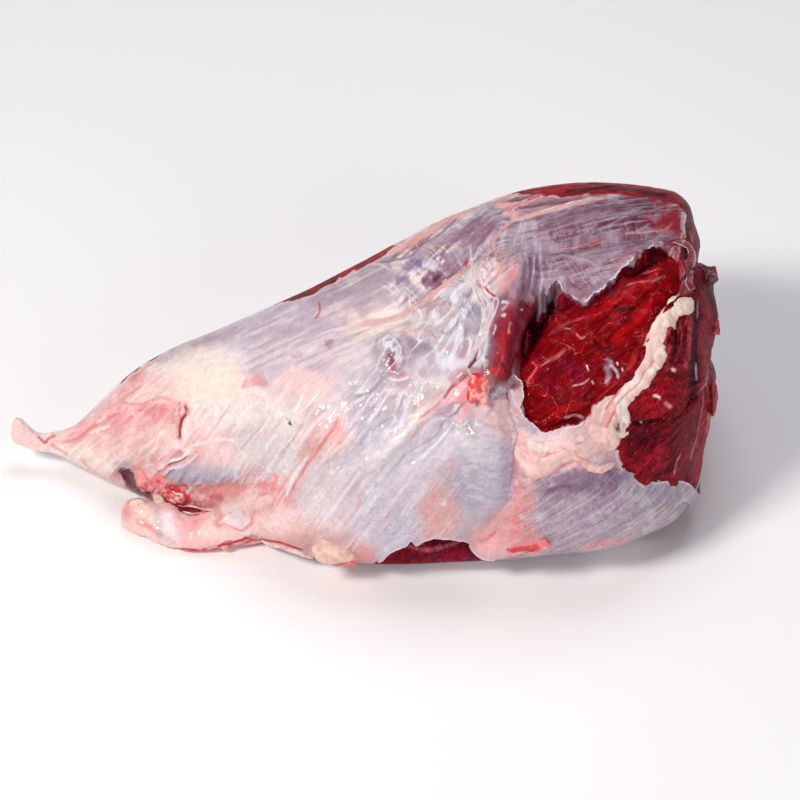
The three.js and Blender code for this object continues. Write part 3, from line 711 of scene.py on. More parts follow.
def lean_relief(a, b):
    """Crests, creases and fibres of the bare end and the bare strips, in mm."""
    height = sum(ridge(a, b, line, width, tall, 0.1) for line, width, tall, *_ in LEAN_MARKS)
    height += mound(a, b, [263.4, 86], [3.6, 7.5], 1.4, -6)
    return height + 0.55 * radiating(a, b) + 0.35 * clouds(a, b, 207, 4, 3)


print("creases of the bare lean:", len(LEAN_MARKS))

# %% Relief of the body
def body_relief(skin, fine=True):
    """Height over the smooth body: the show face's relief fades at its rim into the back's."""
    a, b, z = skin["a"], skin["b"], skin["z"]
    show = smooth(-FADE / 3, FADE, skin["infront"])
    back = smooth(0, 2 * FADE, -skin["infront"]) * smooth(0, FADE, z)
    height = pile(a, b, MAIN_RIDGES, MAIN_MOUNDS)
    height += hollow(a, b, POCKET, 3.2, 9) + hollow(a, b, GAPE, 3, 8)
    if fine:
        bare = smooth(-0.5, 1.5, within(a, b, END_BLOCK)) * (a > 236)
        height += fine_relief(a, b) * (1 - 0.8 * bare) + lean_relief(a, b) * bare
    height *= show
    height += back * pile(a, z, BACK_RIDGES, BACK_MOUNDS)
    if fine:
        height += back * (0.9 * clouds(a, z, 9, 14, 4) + 0.7 * streaks(a, z, 14, 24, 3.5, 3, seed=5))
    return height * smooth(0, 0.7, skin["share"])


# %% Body grid
# how far the cut end stops short of its full length, by height b on the show face, in mm
END_SHORT = np.array([
    [-20, 2.0], [20, 2.5], [33, 3.2], [50, 3.5], [60, 1.5], [71, 0.5], [82, 2.6], [89, 1.6], [95, 0.5],
    [105, 1.5], [112, 0.5], [117, 6.5], [126, 4], [134, 3], [140, 1], [160, 0],
])
BODY_SPOKES = 244
tip = np.linspace(0, 1, 11)[:-1] * np.pi / 2
run = np.linspace(0, 1, 331)
run = run * (1.2 - 0.2 * run)
cap = np.linspace(0, 1, 62)[1:] * np.pi / 2
reach = (np.cos(cap) ** END_POWER + np.sin(cap) ** END_POWER) ** (-1 / END_POWER)
ring_x = np.concatenate([
    TAIL_CAP * (1 - np.cos(tip)), TAIL_CAP + (CAP_START - TAIL_CAP) * run,
    CAP_START + (LENGTH - CAP_START) * reach * np.sin(cap),
])
ring_share = np.concatenate([np.sin(tip), np.ones(len(run)), reach * np.cos(cap)])
ring_share[0] = ring_share[-1] = 0
turn = np.linspace(0, 2 * np.pi, BODY_SPOKES, endpoint=False)
spoke_angle = turn - 0.62 * np.sin(turn - np.radians(168))


def finished_body(x, share, angle, fine=True, lift=0.0):
    """Body with its relief, plus a lift, along the section's outward direction."""
    skin = smooth_body(x, share, angle)
    height = body_relief(skin, fine) + lift
    end = smooth(CAP_START, LENGTH, x) * (1 - smooth(0.75, 1, skin["share"]))
    swell = end * pile(skin["y"], skin["z"], END_RIDGES, END_MOUNDS)
    if fine:
        swell = swell + end * 0.8 * clouds(skin["y"], skin["z"], 5, 12, 3)
        swell = swell - smooth(262, LENGTH, x) * np.interp(skin["b"], *END_SHORT.T)
    point = np.stack([
        skin["x"] + swell, skin["y"] + height * skin["out_y"], skin["z"] + height * skin["out_z"],
    ], axis=-1)
    point[..., 2] = np.maximum(point[..., 2], 0)
    return point, skin


# the face that is seen best is covered by finer sheets, between these places and angles
COVER_X = (9.0, 283.0)
COVER_TURN = np.radians([52, 266])


def border(x, angle):
    """Distance in mm to the rim of the covered part, positive inside it. An angle counts as
    an arc of the section's mean half width."""
    middle, half, top, bottom = along(SECTIONS, x)
    arc = np.minimum(angle - COVER_TURN[0], COVER_TURN[1] - angle) * 0.6 * (half + (top - bottom) / 2)
    return np.minimum(np.minimum(x - COVER_X[0], COVER_X[1] - x), arc)


plain = finished_body(ring_x[::4, None], ring_share[::4, None], spoke_angle[None, ::2], fine=False)[0]
ORIGIN = np.array([-cad_low[0] * 1000, plain[..., 1].min() - cad_low[1] * 1000, 0])
covered = smooth(2, 7, border(ring_x[:, None], spoke_angle[None, :] % (2 * np.pi)))
body_places = ring_x[:, None], ring_share[:, None], spoke_angle[None, :]
body_points, body_skin = finished_body(*body_places, lift=-2.2 * covered)
print("body grid", body_points.shape, "row frame origin in mm", ORIGIN.round(2))

# %% [markdown]
# ## From a grid of points to a mesh
# Every new piece is a row of rings: each ring goes once round the piece, and the last ring
# closes it. Rings that have shrunk to a point become one vertex, so no pole is left open.

# %% Closed mesh from rings
def zipped(ring, top):
    """Triangles that close an open ring whose first points are its upper line and whose rest
    run back below it: each upper point is tied to the lower point at the same share of the
    way, and the lower line is stepped along whenever that point changes."""
    upper, lower = ring[:top], ring[: top - 1 : -1]
    tied = np.rint(np.arange(top) * (len(lower) - 1) / (top - 1)).astype(int)
    first = np.stack([upper[:-1], upper[1:], lower[tied[:-1]]], -1)
    moved = tied[1:] != tied[:-1]
    second = np.stack([upper[1:], lower[tied[1:]], lower[tied[:-1]]], -1)[moved]
    return np.concatenate([first, second]).tolist()


def closed_mesh(name, rings, body="root", top=None, **painted):
    """Quads join each ring to the next and a ring's last point to its first. A shrunken end
    is a fan of triangles, an open end is zipped shut across its ring. The faces are turned
    outwards by the sign of the volume. Painted arrays become vertex attributes."""
    rows, spokes = rings.shape[:2]
    top = top or spokes // 2
    closed = [np.ptp(rings[k].reshape(-1, 3), axis=0).max() < 1e-6 for k in (0, -1)]
    keep = np.ones((rows, spokes), bool)
    for end, row in zip(closed, (0, -1)):
        keep[row, 1:] = not end
    number = np.cumsum(keep).reshape(rows, spokes) - 1
    for end, row in zip(closed, (0, -1)):
        if end:
            number[row] = number[row, 0]
    after = np.roll(number, -1, axis=1)
    first = 1 if closed[0] else 0
    last = rows - 2 if closed[1] else rows - 1
    quads = np.stack([number[:-1], after[:-1], after[1:], number[1:]], -1)[first:last].reshape(-1, 4)
    faces = quads.tolist()
    if closed[0]:
        faces += np.stack([number[0], after[1], number[1]], -1).tolist()
    else:
        faces += [face[::-1] for face in zipped(number[0], top)]
    if closed[1]:
        faces += np.stack([number[-2], after[-2], number[-1]], -1).tolist()
    else:
        faces += zipped(number[-1], top)
    points = (rings[keep] - ORIGIN) / 1000
    a, b, c, d = (points[quads[:, k]] for k in range(4))
    volume = (np.cross(b - a, c - a) * a).sum() + (np.cross(c - a, d - a) * a).sum()
    if volume < 0:
        faces = [face[::-1] for face in faces]
    mesh = bpy.data.meshes.new(name)
    mesh.from_pydata(points.tolist(), [], faces)
    mesh.shade_smooth()
    for label, values in painted.items():
        values = np.asarray(values, float)
        values = np.broadcast_to(values, (rows, spokes) + values.shape[2:])[keep]
        if values.ndim == 1:
            mesh.attributes.new(label, "FLOAT", "POINT").data.foreach_set("value", values)
        elif label == "chart":
            mesh.attributes.new(label, "FLOAT_VECTOR", "POINT").data.foreach_set("vector", values.ravel())
        else:
            colour = np.column_stack([values, np.ones(len(values))])
            mesh.attributes.new(label, "FLOAT_COLOR", "POINT").data.foreach_set("color", colour.ravel())
    piece = bpy.data.objects.new(name, mesh)
    bpy.context.scene.collection.objects.link(piece)
    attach(piece, body)
    triangles = len(quads) + len(faces)
    millilitres = round(abs(volume) / 6 * 1e6, 1)
    print(name, "vertices", len(points), "triangles about", triangles, "volume ml", millilitres)
    return piece


# %% [markdown]
# ## Colours of the body
# Silverskin is nearly clear, so it takes the colour of what lies under it: cream and pink
# where there is fat and tendon, blue-grey to lilac where dark lean shows through. One could
# paint this by hand, but the same places on the chart that shape the relief also say where
# each tissue lies, so the washes below are spots of named tints that blend into each other.

# %% Tints
TINTS = {
    "cream": "fce4da", "blush": "fbcfcd", "rose": "fab2b4", "coral": "e88a8a", "blood": "c21f2a",
    "milk": "f4e4e4", "pearl": "e6deea", "grey": "d5cbd2", "mist": "c5bbca", "lilac": "ccb5c4",
    "mauve": "b39ead", "plum": "94768a", "grape": "84506b", "wine": "7a2036", "flesh": "ddb0ae",
    "salmon": "d9a09c", "dusk": "a593a1", "heath": "8d7686", "crimson": "9a1128", "claret": "6e0c20",
    "maroon": "5c1430", "ebony": "26040b", "pink": "fc9c9e", "berry": "b0667a", "steel": "aaa3b4",
    "violet": "75617f", "haze": "d2c5cf", "shell": "e6d3d5", "glass_highlight": "f2eef5", "iris": "806c97",
    "suet": "eca79f", "night": "4a2036", "mulberry": "74324f", "garnet": "5e1c3a",
}
TINTS = {name: linear(code) for name, code in TINTS.items()}

# washes of each tint over the show face: place (a, b), reach along a and reach along b
WASHES = {
    "blush": [(14, 48, 10, 10), (66, 48, 8, 5), (52, 66, 6, 5), (62, 60, 7, 4), (64, 67, 8, 4),
        (80, 48, 8, 5), (92, 42, 9, 4), (100, 18, 8, 5), (114, 14, 8, 5), (122, 67, 9, 5), (172, 102, 7, 3),
        (196, 114, 5, 7), (212, 44, 7, 6), (222, 42, 7, 5)],
    "rose": [(28, 50, 7, 5), (40, 52, 9, 6), (134, 50, 6, 5), (182, 63, 6, 5), (202, 107, 4, 5),
        (76, 40, 3, 3), (196, 6, 6, 4)],
    "coral": [(28, 57, 6, 3), (66, 39, 4, 3), (52, 32, 4, 3), (62, 24, 7, 4), (76, 25, 8, 3),
        (114, 26, 5, 5), (54, 26, 5, 4), (76, 24, 7, 3), (88, 24.5, 7, 3), (110, 26, 5, 4), (136, 1, 7, 4),
        (206, 8, 6, 4), (205, 20, 4, 8)],
    "cream": [(28, 40, 9, 6), (42, 40, 7, 5), (78, 72, 11, 6), (94, 66, 10, 5), (150, 92, 10, 4)],
    "flesh": [(46, 31, 5, 5), (58, 34, 6, 5), (51, 71, 5, 4), (130, 8, 9, 4), (199, 54, 5, 5),
        (168, 124, 12, 3), (232, 46, 6, 5), (205, 5, 6, 3)],
    "pink": [(56, 56, 7, 4), (68, 56, 6, 3.4)],
    "berry": [(222, 144, 14, 2.4), (212, 139, 9, 3)],
    "claret": [(256, 145, 5, 3), (206, 98, 3, 5), (196, 75, 4, 5), (279, 128, 4, 12)],
    "salmon": [(90, 23, 7, 4), (96, 34, 8, 3), (118, 6, 9, 4), (126, 42, 5, 6), (172, 22, 6, 7),
        (176, 13, 6, 4), (197, 12, 4, 5), (188, 70, 4, 3), (124, 2, 6, 4), (206, 34, 4.5, 10),
        (244, 5, 9, 3)],
    "milk": [(62, 74, 6, 4), (90, 78, 8, 5), (90, 56, 12, 5), (108, 56, 10, 7)],
    "mauve": [(66, 82, 6, 4), (84, 89, 8, 4), (138, 103, 9, 5), (150, 110, 10, 5), (160, 80, 6, 6),
        (172, 114, 8, 4), (182, 124, 9, 5), (188, 135, 12, 4), (196, 126, 5, 4), (236, 13, 14, 5)],
    "mist": [(100, 86, 9, 5), (112, 95, 8, 4), (148, 50, 6, 7), (150, 76, 6, 6), (146, 22, 7, 9),
        (160, 14, 7, 7), (184, 58, 6, 4), (195, 41, 5, 7), (195, 26, 5, 8)],
    "lilac": [(80, 34, 8, 4), (106, 76, 7, 6), (116, 86, 10, 8), (128, 92, 8, 6), (128, 78, 9, 6),
        (158, 71, 6, 4), (162, 104, 7, 4)],
    "grey": [(100, 44, 8, 6), (112, 40, 8, 7), (124, 28, 8, 9), (132, 36, 6, 8), (148, 36, 8, 9),
        (156, 50, 7, 7), (188, 46, 6, 7)],
    "shell": [(126, 57, 9, 5), (134, 20, 7, 8), (138, 80, 10, 6), (162, 62, 7, 5), (168, 94, 9, 5),
        (172, 69, 6, 5)],
    "haze": [(142, 68, 7, 7), (162, 32, 7, 9), (186, 82, 6, 7), (174, 48, 7, 7)],
    "pearl": [(176, 77, 6, 6), (184, 100, 6, 7)],
    # painted highlight washes on the glassy film
    "glass_highlight": [(178, 101, 5, 4), (177, 84, 4, 5)],
    "steel": [(187, 32, 7, 9), (200, 34, 3, 7)],
    "plum": [(180, 117, 5, 4), (206, 134, 9, 4), (205, 104, 4, 4), (220, 31, 9, 4), (266, 26, 8, 4)],
    "dusk": [(206, 121, 8, 6), (226, 22, 12, 6), (252, 24, 12, 5), (262, 17, 10, 5), (220, 8, 7, 4)],
    "grape": [(216, 115, 8, 6), (234, 139, 12, 2.6), (200, 94, 4, 5), (236, 31, 8, 4)],
    "mulberry": [(229, 107, 7, 4), (237, 114, 8, 4), (234, 134, 10, 4), (222, 129, 7, 4)],
    "garnet": [(248, 122, 13, 6), (238, 129, 14, 5), (254, 129, 10, 5), (256, 134, 7, 4), (258, 126, 6, 4)],
    "crimson": [(268, 138, 6, 4), (199, 84, 4, 6), (268, 120, 5, 4), (268, 110, 5, 5), (268, 128, 5, 5),
        (273, 130, 4, 8), (276, 108, 4, 5), (258, 114, 5, 4)],
    "wine": [(270, 102, 5, 4)],
    "blood": [(64, 23, 5, 3), (76, 17, 9, 2.5)],
}


def washed(a, b):
    """Mean of the wash tints, each weighted by exp(-(distance/reach)^2)."""
    total = np.zeros(np.shape(a) + (3,))
    weight = np.full(np.shape(a), 1e-9)
    for tint, spots in WASHES.items():
        for at_a, at_b, reach_a, reach_b in spots:
            near = np.exp(-(((a - at_a) / reach_a) ** 2) - ((b - at_b) / reach_b) ** 2) + 1e-7
            total += near[..., None] * TINTS[tint]
            weight += near
    return total / weight[..., None]


def tone_of(tint):
    """Linear colour of a named tint or of a hex code."""
    return TINTS[tint] if tint in TINTS else linear(tint)


def plain_coat(a, tint):
    """The same colour at every place."""
    return np.zeros(np.shape(a) + (3,)) + tone_of(tint)


def lay(colours, tint, weight):
    """Mixes a tint over the colours by a weight from 0 to 1."""
    colours += np.clip(weight, 0, 1)[..., None] * (tone_of(tint) - colours)


def stroke(a, b, points, width, soft=0.6, taper=0.15):
    """Weight of a brush stroke along a line: 1 in its middle, 0 past its width, thinner at
    its ends. Soft is the share of the width over which it fades."""
    away, place, _ = beside(a, b, curve(points, 5), width + 0.5)
    thin = 1.0
    if taper:
        thin = smooth(-0.05, taper, place) * smooth(-0.05, taper, 1 - place)
    reach = width * np.maximum(thin, 0.05)
    return 1 - smooth(reach * (1 - soft), reach, away)


print("tints:", len(TINTS), "in", sum(len(spots) for spots in WASHES.values()), "washes")

# %% Broad strokes
# tint, strength, half width in mm and places (a, b) of each
STROKES = [
    # tail and heel
    ("cream", 0.9, 4, [[18, 42], [28, 39.5], [38, 37], [44, 33]]),
    ("coral", 0.35, 2.4, [[44, 60], [50, 66], [57, 73]]),
    ("blood", 0.35, 2.6, [[49, 69], [55, 76], [64, 83]]),
    ("coral", 0.75, 2.4, [[54, 58.2], [61, 59.2], [68, 58]]),
    ("blush", 0.7, 3.6, [[30, 54], [38, 60], [46, 66]]),
    ("coral", 0.65, 2.4, [[78, 26], [88, 27], [98, 27.5], [110, 30]]),
    ("blood", 0.55, 2.0, [[83.3, 23.2], [86.7, 23.4], [89.6, 24.2]]),
    ("blush", 0.8, 3.0, [[77.6, 22.6], [81.6, 21.8]]),
    ("coral", 0.85, 3.2, [[58, 31], [61.5, 27], [68, 24.6], [74, 24.4]]),
    ("wine", 0.95, 2.8, [[46.4, 29.4], [50, 27.5], [53.6, 24.6]]),
    ("wine", 0.9, 1.4, [[55.5, 23.2], [58, 22], [61, 20.6]]),
    ("rose", 0.85, 4, [[55, 31], [58.5, 30], [60, 27]]),
    ("mist", 0.8, 4.5, [[66, 31.5], [74, 33], [86, 34], [98, 35]]),
    ("milk", 0.8, 2.2, [[74, 57], [74, 51], [73.5, 46]]),
    ("cream", 0.85, 5, [[78, 75], [90, 73], [98, 70]]),
    ("cream", 0.5, 4, [[66, 77], [76, 83]]),
    ("coral", 0.55, 2.4, [[97, 67], [103, 70], [108, 68]]),
    ("salmon", 0.6, 2.6, [[88, 18], [96, 16.5], [106, 20]]),
    ("lilac", 0.6, 4, [[84, 88], [98, 93], [110, 96]]),
    # middle of the face
    ("grape", 0.5, 2.0, [[130.5, 83], [133.5, 85]]),
    ("plum", 0.35, 2.2, [[117, 78.4], [121.5, 79.6]]),
    ("ebony", 0.97, 0.9, [[115.8, 55.2], [116.2, 53.2], [116.6, 51.2]]),
    ("salmon", 0.5, 3, [[121, 37], [126, 45], [131, 51]]),
    ("mist", 0.7, 2.4, [[188, 60], [181, 55], [174.5, 48], [164.5, 41], [157, 35]]),
    ("mist", 0.7, 2.4, [[163, 62], [157, 54.5], [150, 50.5], [142, 41], [133.5, 36]]),
    ("milk", 0.8, 2.4, [[170, 62], [164, 54], [157, 46], [149, 39]]),
    ("blush", 0.6, 2.6, [[176, 66], [170, 60], [163, 53]]),
    ("salmon", 0.7, 4.5, [[168, 10], [172, 15], [175, 22]]),
    ("steel", 0.6, 4.5, [[181, 10], [185, 16], [188, 24]]),
    ("dusk", 0.5, 4, [[166, 73], [172, 73], [178, 76]]),
    ("berry", 0.5, 3.6, [[177, 70], [184, 72], [191, 74.6]]),
    ("steel", 0.6, 2.8, [[180, 54], [184, 56.4], [188, 58]]),
    # painted highlight on the glassy film
    ("glass_highlight", 0.8, 4, [[174, 103], [181, 104], [187, 106]]),
    ("plum", 0.4, 2.6, [[196.4, 92], [195, 86]]),
    ("coral", 0.6, 2.4, [[181, 61], [184, 64], [186, 67]]),
    ("berry", 0.5, 3, [[182, 77], [184, 81], [186, 85]]),
    ("steel", 0.7, 3.4, [[203, 54.6], [207, 53], [211, 49.6]]),
    ("rose", 0.7, 0.7, [[198.2, 63], [200.2, 59], [203, 56], [206, 54.2], [210, 52.2]]),
    ("steel", 0.2, 8, [[194, 50], [196, 40], [195, 30]]),
    ("plum", 0.5, 0.7, [[198.6, 60], [201.6, 54], [203.2, 47.4], [202, 41], [201.8, 34], [200.4, 28]]),
    ("blood", 0.6, 1.1, [[189.8, 6], [192.6, 7.8], [196.2, 10.6]]),
    ("coral", 0.7, 1.6, [[202.3, 31], [204.4, 25], [202.2, 19.6], [196.6, 14.4]]),
    ("blood", 0.7, 1.4, [[200, 1.4], [204, 1.4], [208.4, 2.6]]),
    ("wine", 0.9, 1.6, [[154.6, 78.6], [155.6, 76], [156, 74.2]]),
    # painted highlight on the glassy film
    ("glass_highlight", 0.95, 3.6, [[175.6, 80.4], [177, 77], [175.6, 74.6]]),
    ("plum", 0.5, 2.6, [[166, 84], [171, 80], [170, 75]]),
    ("dusk", 0.6, 2.6, [[158.5, 88], [163, 84.5], [164.5, 79]]),
    # upper muscle: dark windows between cross fibres
    ("suet", 0.9, 3.4, [[153.6, 117.4], [159.6, 121.5], [168.4, 127.4], [174.5, 131.6], [181.8, 136],
        [189, 140]]),
    ("cream", 0.6, 2.2, [[155.7, 110.9], [158, 114.2], [161.2, 115.8]]),
    ("cream", 0.6, 2.6, [[163.1, 110.3], [165.4, 107.6], [168.2, 106.4]]),
    ("plum", 0.6, 3.4, [[178, 117], [186, 120.5], [192, 126]]),
    ("plum", 0.6, 3.0, [[172, 121], [182, 127], [192, 133.5]]),
    ("mauve", 0.6, 3.2, [[164, 116], [172, 122.5], [180, 129]]),
    ("suet", 0.9, 1.8, [[186, 138.4], [196, 142.6], [208, 144.5]]),
    ("plum", 0.6, 3.4, [[214, 131], [226, 133], [240, 136]]),
    ("grape", 0.55, 4.5, [[238, 121], [248, 119.6], [258, 123]]),
    ("mauve", 0.7, 4, [[226, 117], [236, 118], [246, 122]]),
    ("crimson", 0.7, 2.6, [[254, 133.6], [262, 132.8], [268, 134.5]]),
    ("blood", 0.6, 2.4, [[264.4, 130.4], [268, 132.6], [269.8, 135.4]]),
    ("crimson", 0.9, 3.4, [[267, 134], [271, 130], [271.6, 122], [269, 112]]),
    ("rose", 0.6, 1.6, [[272.6, 137], [272.4, 131]]),
    ("claret", 0.97, 4.0, [[279, 136], [278.4, 126], [277.6, 118], [276, 108]]),
    ("blush", 0.5, 0.8, [[270.8, 140], [274, 137], [273, 129], [270, 124], [268, 116]]),
    # painted shadow in the gap beside the membrane edge
    ("ebony", 0.9, 1.7, [[274.6, 115.4], [271.4, 112], [268.8, 106.6]]),
    ("crimson", 0.5, 2.2, [[240, 111], [246, 116], [252, 120]]),
    # roll beside the pocket
    ("plum", 0.7, 4.0, [[207, 111], [206, 104], [204, 98]]),
    ("salmon", 0.9, 3.8, [[202.6, 107.4], [200.6, 104]]),
    ("coral", 0.85, 1.5, [[203, 106.8], [202, 104.4]]),
    ("berry", 0.8, 5.0, [[200.6, 96.4], [199.6, 92.6], [199, 89]]),
    ("wine", 0.6, 3.0, [[206, 102], [204, 96], [202, 90], [201, 84]]),
    ("wine", 0.8, 7.0, [[201, 92], [199.4, 86], [197.4, 77], [196, 69]]),
    ("crimson", 0.6, 6.0, [[200.8, 94], [199.6, 86], [197.2, 76], [196, 69]]),
    ("crimson", 0.7, 4.6, [[199.6, 86], [198.4, 80], [196.8, 74], [196, 69]]),
    ("blood", 0.35, 3.0, [[200.6, 86], [199.4, 81], [198, 75]]),
    # painted shade on the roll's right side as it falls into the crease
    ("claret", 0.9, 3.2, [[207, 97], [205, 90], [202.6, 82], [200.6, 75], [198.6, 69]]),
    ("grape", 0.6, 1.6, [[194.4, 84], [193.6, 79], [192.6, 74]]),
    # this stroke and the next: painted shadow, deepening to black in the wall beside the pocket
    ("claret", 0.9, 2.6, [[202.6, 70], [204.6, 77], [207, 84]]),
    ("ebony", 0.97, 3.2, [[206.4, 82], [207.8, 86], [210.8, 92.6], [214.6, 99.4], [218, 103.6]]),
    # this stroke and the next seven are painted glints on the roll
    ("pearl", 0.9, 0.6, [[198.1, 97.2], [198.5, 95.6]]),
    ("pearl", 0.6, 0.9, [[198.4, 96.4], [198.8, 94.4]]),
    ("pearl", 0.9, 0.4, [[197, 93.9], [199.2, 93.3]]),
    ("pearl", 0.8, 0.35, [[197.2, 93.1], [199, 92.5]]),
    ("pearl", 0.8, 0.4, [[197.6, 91.6], [198.6, 90.2]]),
    ("pearl", 0.85, 0.5, [[195.5, 89.2], [195.4, 86.9], [195, 84.2]]),
    ("pearl", 0.7, 0.4, [[205.8, 94.4], [205.2, 93]]),
    ("rose", 0.5, 0.7, [[200.4, 88.8], [199.9, 84.2]]),
    ("grey", 0.9, 2.2, [[190.6, 78], [189.4, 75.6], [187.4, 73.4]]),
    ("blood", 0.9, 1.8, [[191.5, 71.5], [195.6, 71.5], [198.4, 73]]),
]


# tint, strength, softness of the edge in mm and outline of patches with a clear edge
PATCHES = [
    ("maroon", 0.97, 0.5, [
        [45.4, 32.6], [47.4, 34.4], [50.6, 34.6], [52.6, 33], [52.8, 29.6], [55, 26.8], [58, 24.8],
        [58.4, 22.8], [54, 23], [50, 25], [46.6, 28.4],
    ]),
    ("mauve", 0.75, 1.2, [[44, 36.4], [48, 38.6], [52.4, 37], [53, 34.6], [50, 35], [46.6, 34.6]]),
    ("steel", 0.5, 2.4, [[64, 32], [68, 36], [74, 38], [82, 37], [90, 34], [96, 31.6], [86, 29.6],
        [76, 29.6], [68, 30]]),
    ("blood", 0.85, 0.8, [[63.4, 29], [66, 28.4], [70, 27.6], [74.6, 29.4], [75.4, 26], [73, 21.6],
        [68.4, 23.4], [65, 25.4]]),
    ("grape", 0.5, 1.6, [[180, 121], [184, 128], [192, 132.6], [197, 130], [194, 123.4], [187, 121]]),
    ("iris", 0.6, 0.8, [[159.6, 111.2], [161.2, 114.9], [165.5, 116.5], [168.6, 115.5], [168.2, 112.2],
        [165.5, 110.6]]),
    ("iris", 0.8, 0.6, [[165, 112], [165.6, 115.8], [168.4, 115], [168, 112]]),
    ("iris", 0.8, 0.6, [[157.2, 105.9], [157.6, 108.3], [163.1, 108.6], [163.1, 107], [158.8, 105.8]]),
    ("grape", 0.9, 0.6, [[167.4, 106.9], [169.7, 109.3], [172.1, 112.1], [174, 112.1], [176.7, 110.8],
        [179, 110.8], [177.5, 109.2], [174, 107.2], [169.7, 106.4]]),
    ("night", 0.7, 0.5, [[170.6, 109.4], [173, 111.2], [174.6, 110.4], [173.6, 108.6], [171.4, 108.2]]),
    ("plum", 0.7, 1.0, [[173.7, 116.3], [176.5, 118.7], [181.1, 116.1], [182.6, 114], [179.8, 110.8],
        [174.8, 112.1]]),
    # painted highlight on the upper muscle
    ("pearl", 0.7, 0.8, [[168.8, 113.4], [171.4, 115.2], [174, 113.6], [171.6, 112]]),
    ("steel", 0.6, 1.2, [[158.8, 105.4], [165.4, 106.1], [166.6, 103.7], [163.1, 102.1], [159.4, 103]]),
    ("mauve", 0.6, 1.4, [[140, 103], [147, 109], [155, 112.4], [158, 108], [150, 102], [143, 99]]),
    # this patch and the next are painted highlights on the glassy film
    ("glass_highlight", 0.7, 1.0, [[177.4, 104.3], [183.1, 103], [185, 100.2], [181.5, 98.3], [177.7, 99.5]]),
    ("glass_highlight", 0.6, 0.9, [[176.4, 86.6], [181.4, 87], [182.1, 84.3], [177.9, 82.3]]),
    ("steel", 0.55, 1.0, [[186.1, 99.4], [189.2, 98.6], [190.2, 93.5], [187.2, 94.7]]),
    ("plum", 0.6, 0.6, [[252, 133.4], [262, 135], [268, 134.4], [262, 132]]),
    ("crimson", 0.8, 1.4, [[258, 131], [263, 134.4], [269, 137], [271, 133], [269, 129], [263, 130]]),
    ("garnet", 0.5, 1.6, [[216, 131], [228, 134], [240, 137.4], [250, 138.4], [246, 133], [232, 129.6],
        [216, 127]]),
    ("grape", 0.5, 2.4, [[232, 112], [240, 118], [248, 122.6], [256, 125], [250, 126], [240, 123],
        [230, 118]]),
    # painted highlight on the glassy film
    ("pearl", 0.6, 0.8, [[172.4, 81], [178, 80.4], [179, 77], [175.6, 72.6], [172.2, 77.4]]),
    ("grape", 0.5, 0.8, [[152.6, 80], [155.4, 81.4], [157.4, 79], [157.6, 76], [155, 74.4], [153.2, 76.4]]),
    ("blood", 0.7, 0.5, [[155.4, 76.6], [157.4, 76], [157.6, 73.8], [155.8, 73.4]]),
    ("violet", 0.5, 2.0, [[218, 33], [228, 37.6], [238, 35.8], [246, 33.6], [240, 30], [226, 28]]),
    ("violet", 0.55, 0.8, [[213, 28.6], [219, 30.8], [226, 31.4], [230, 29.6], [222, 28], [214.6, 26.6]]),
    ("plum", 0.9, 0.5, [[224.2, 37.4], [226, 37.6], [226.6, 34.6], [225.4, 33.6], [224.4, 35.2]]),
]
print("strokes:", len(STROKES), "patches:", len(PATCHES))

# %% Paint on the show face
def painted_skin(a, b):
    """Washes at warped places, soft blotches, the grain of each part, painted highlight and
    shade on the heel pleats, then strokes, patches, painted highlights on the crests of the
    loose film with painted shade between them, and folds."""
    wa = a + 2.2 * clouds(a, b, 1, 9, 3)
    wb = b + 2.2 * clouds(a, b, 6, 9, 3)
    c = washed(wa, wb)
    blotch = clouds(a, b, 201, 4.5, 3)
    lay(c, "milk", 0.3 * smooth(0.1, 0.8, blotch))
    lay(c, "salmon", 0.18 * smooth(0.1, 0.8, -blotch))
    for turn, length, width, box, _, pale, dark, strength in GRAIN:
        zone = part(a, b, box)
        if zone.max() > 0.01:
            lines = zone * streaks(a, b, turn, length, width, 3, seed=turn / 7)
            lay(c, pale, strength * smooth(0.05, 0.6, lines))
            lay(c, dark, 0.9 * strength * smooth(0.05, 0.6, -lines))
    # painted highlight on the crests of the heel pleats and painted shade in their troughs
    band, wave = pleats(a, b)
    lay(c, "milk", 0.9 * band * smooth(0.35, 1.0, wave))
    lay(c, "steel", 0.65 * band * smooth(0.2, 0.9, -wave) * smooth(104, 84, a))
    fa = a + 0.9 * clouds(a, b, 11, 4, 3)
    fb = b + 0.9 * clouds(a, b, 15, 4, 3)
    for tint, strength, width, points in STROKES:
        lay(c, tint, strength * stroke(fa, fb, points, width, 0.75))
    for tint, strength, soft, outline in PATCHES:
        lay(c, tint, strength * smooth(-soft, soft, within(fa, fb, outline)))
    loose = glassiness(a, b)
    if loose.max() > 0.01:
        # painted highlight on the crests of the film's wrinkles, painted shade (heath) in the troughs between
        # them
        crest = wrinkles(a, b, 4.6)
        lay(c, "glass_highlight", 0.95 * loose * smooth(0.2, 0.5, crest))
        lay(c, "heath", 0.42 * loose * smooth(0.2, 0.34, -crest))
    fa = a + 0.3 * clouds(a, b, 31, 2.5, 2)
    fb = b + 0.3 * clouds(a, b, 35, 2.5, 2)
    for line, width, _, tint, strength in FOLDS:
        away, place, _ = beside(fa, fb, line, width + 1)
        ends = smooth(-0.02, 0.14, place) * smooth(-0.02, 0.14, 1 - place)
        lay(c, tint, strength * ends * (1 - smooth(0.35 * width, 1.15 * width, away)))
    return np.clip(c, 0, 1)


# %% Paint on the bare lean
BACK_TONGUES = [
    [[272, 76], [252, 74], [236, 69], [222, 63], [214, 58], [228, 60], [244, 63], [258, 62], [272, 58]],
    [[188, 45], [198, 49], [208, 50], [216, 48], [206, 45], [196, 43]],
]


# the shadowed wall between the roll and the pocket
CREVICE = [[206, 80], [207.8, 86], [210.8, 92.6], [214.6, 99.4], [217.6, 103]]


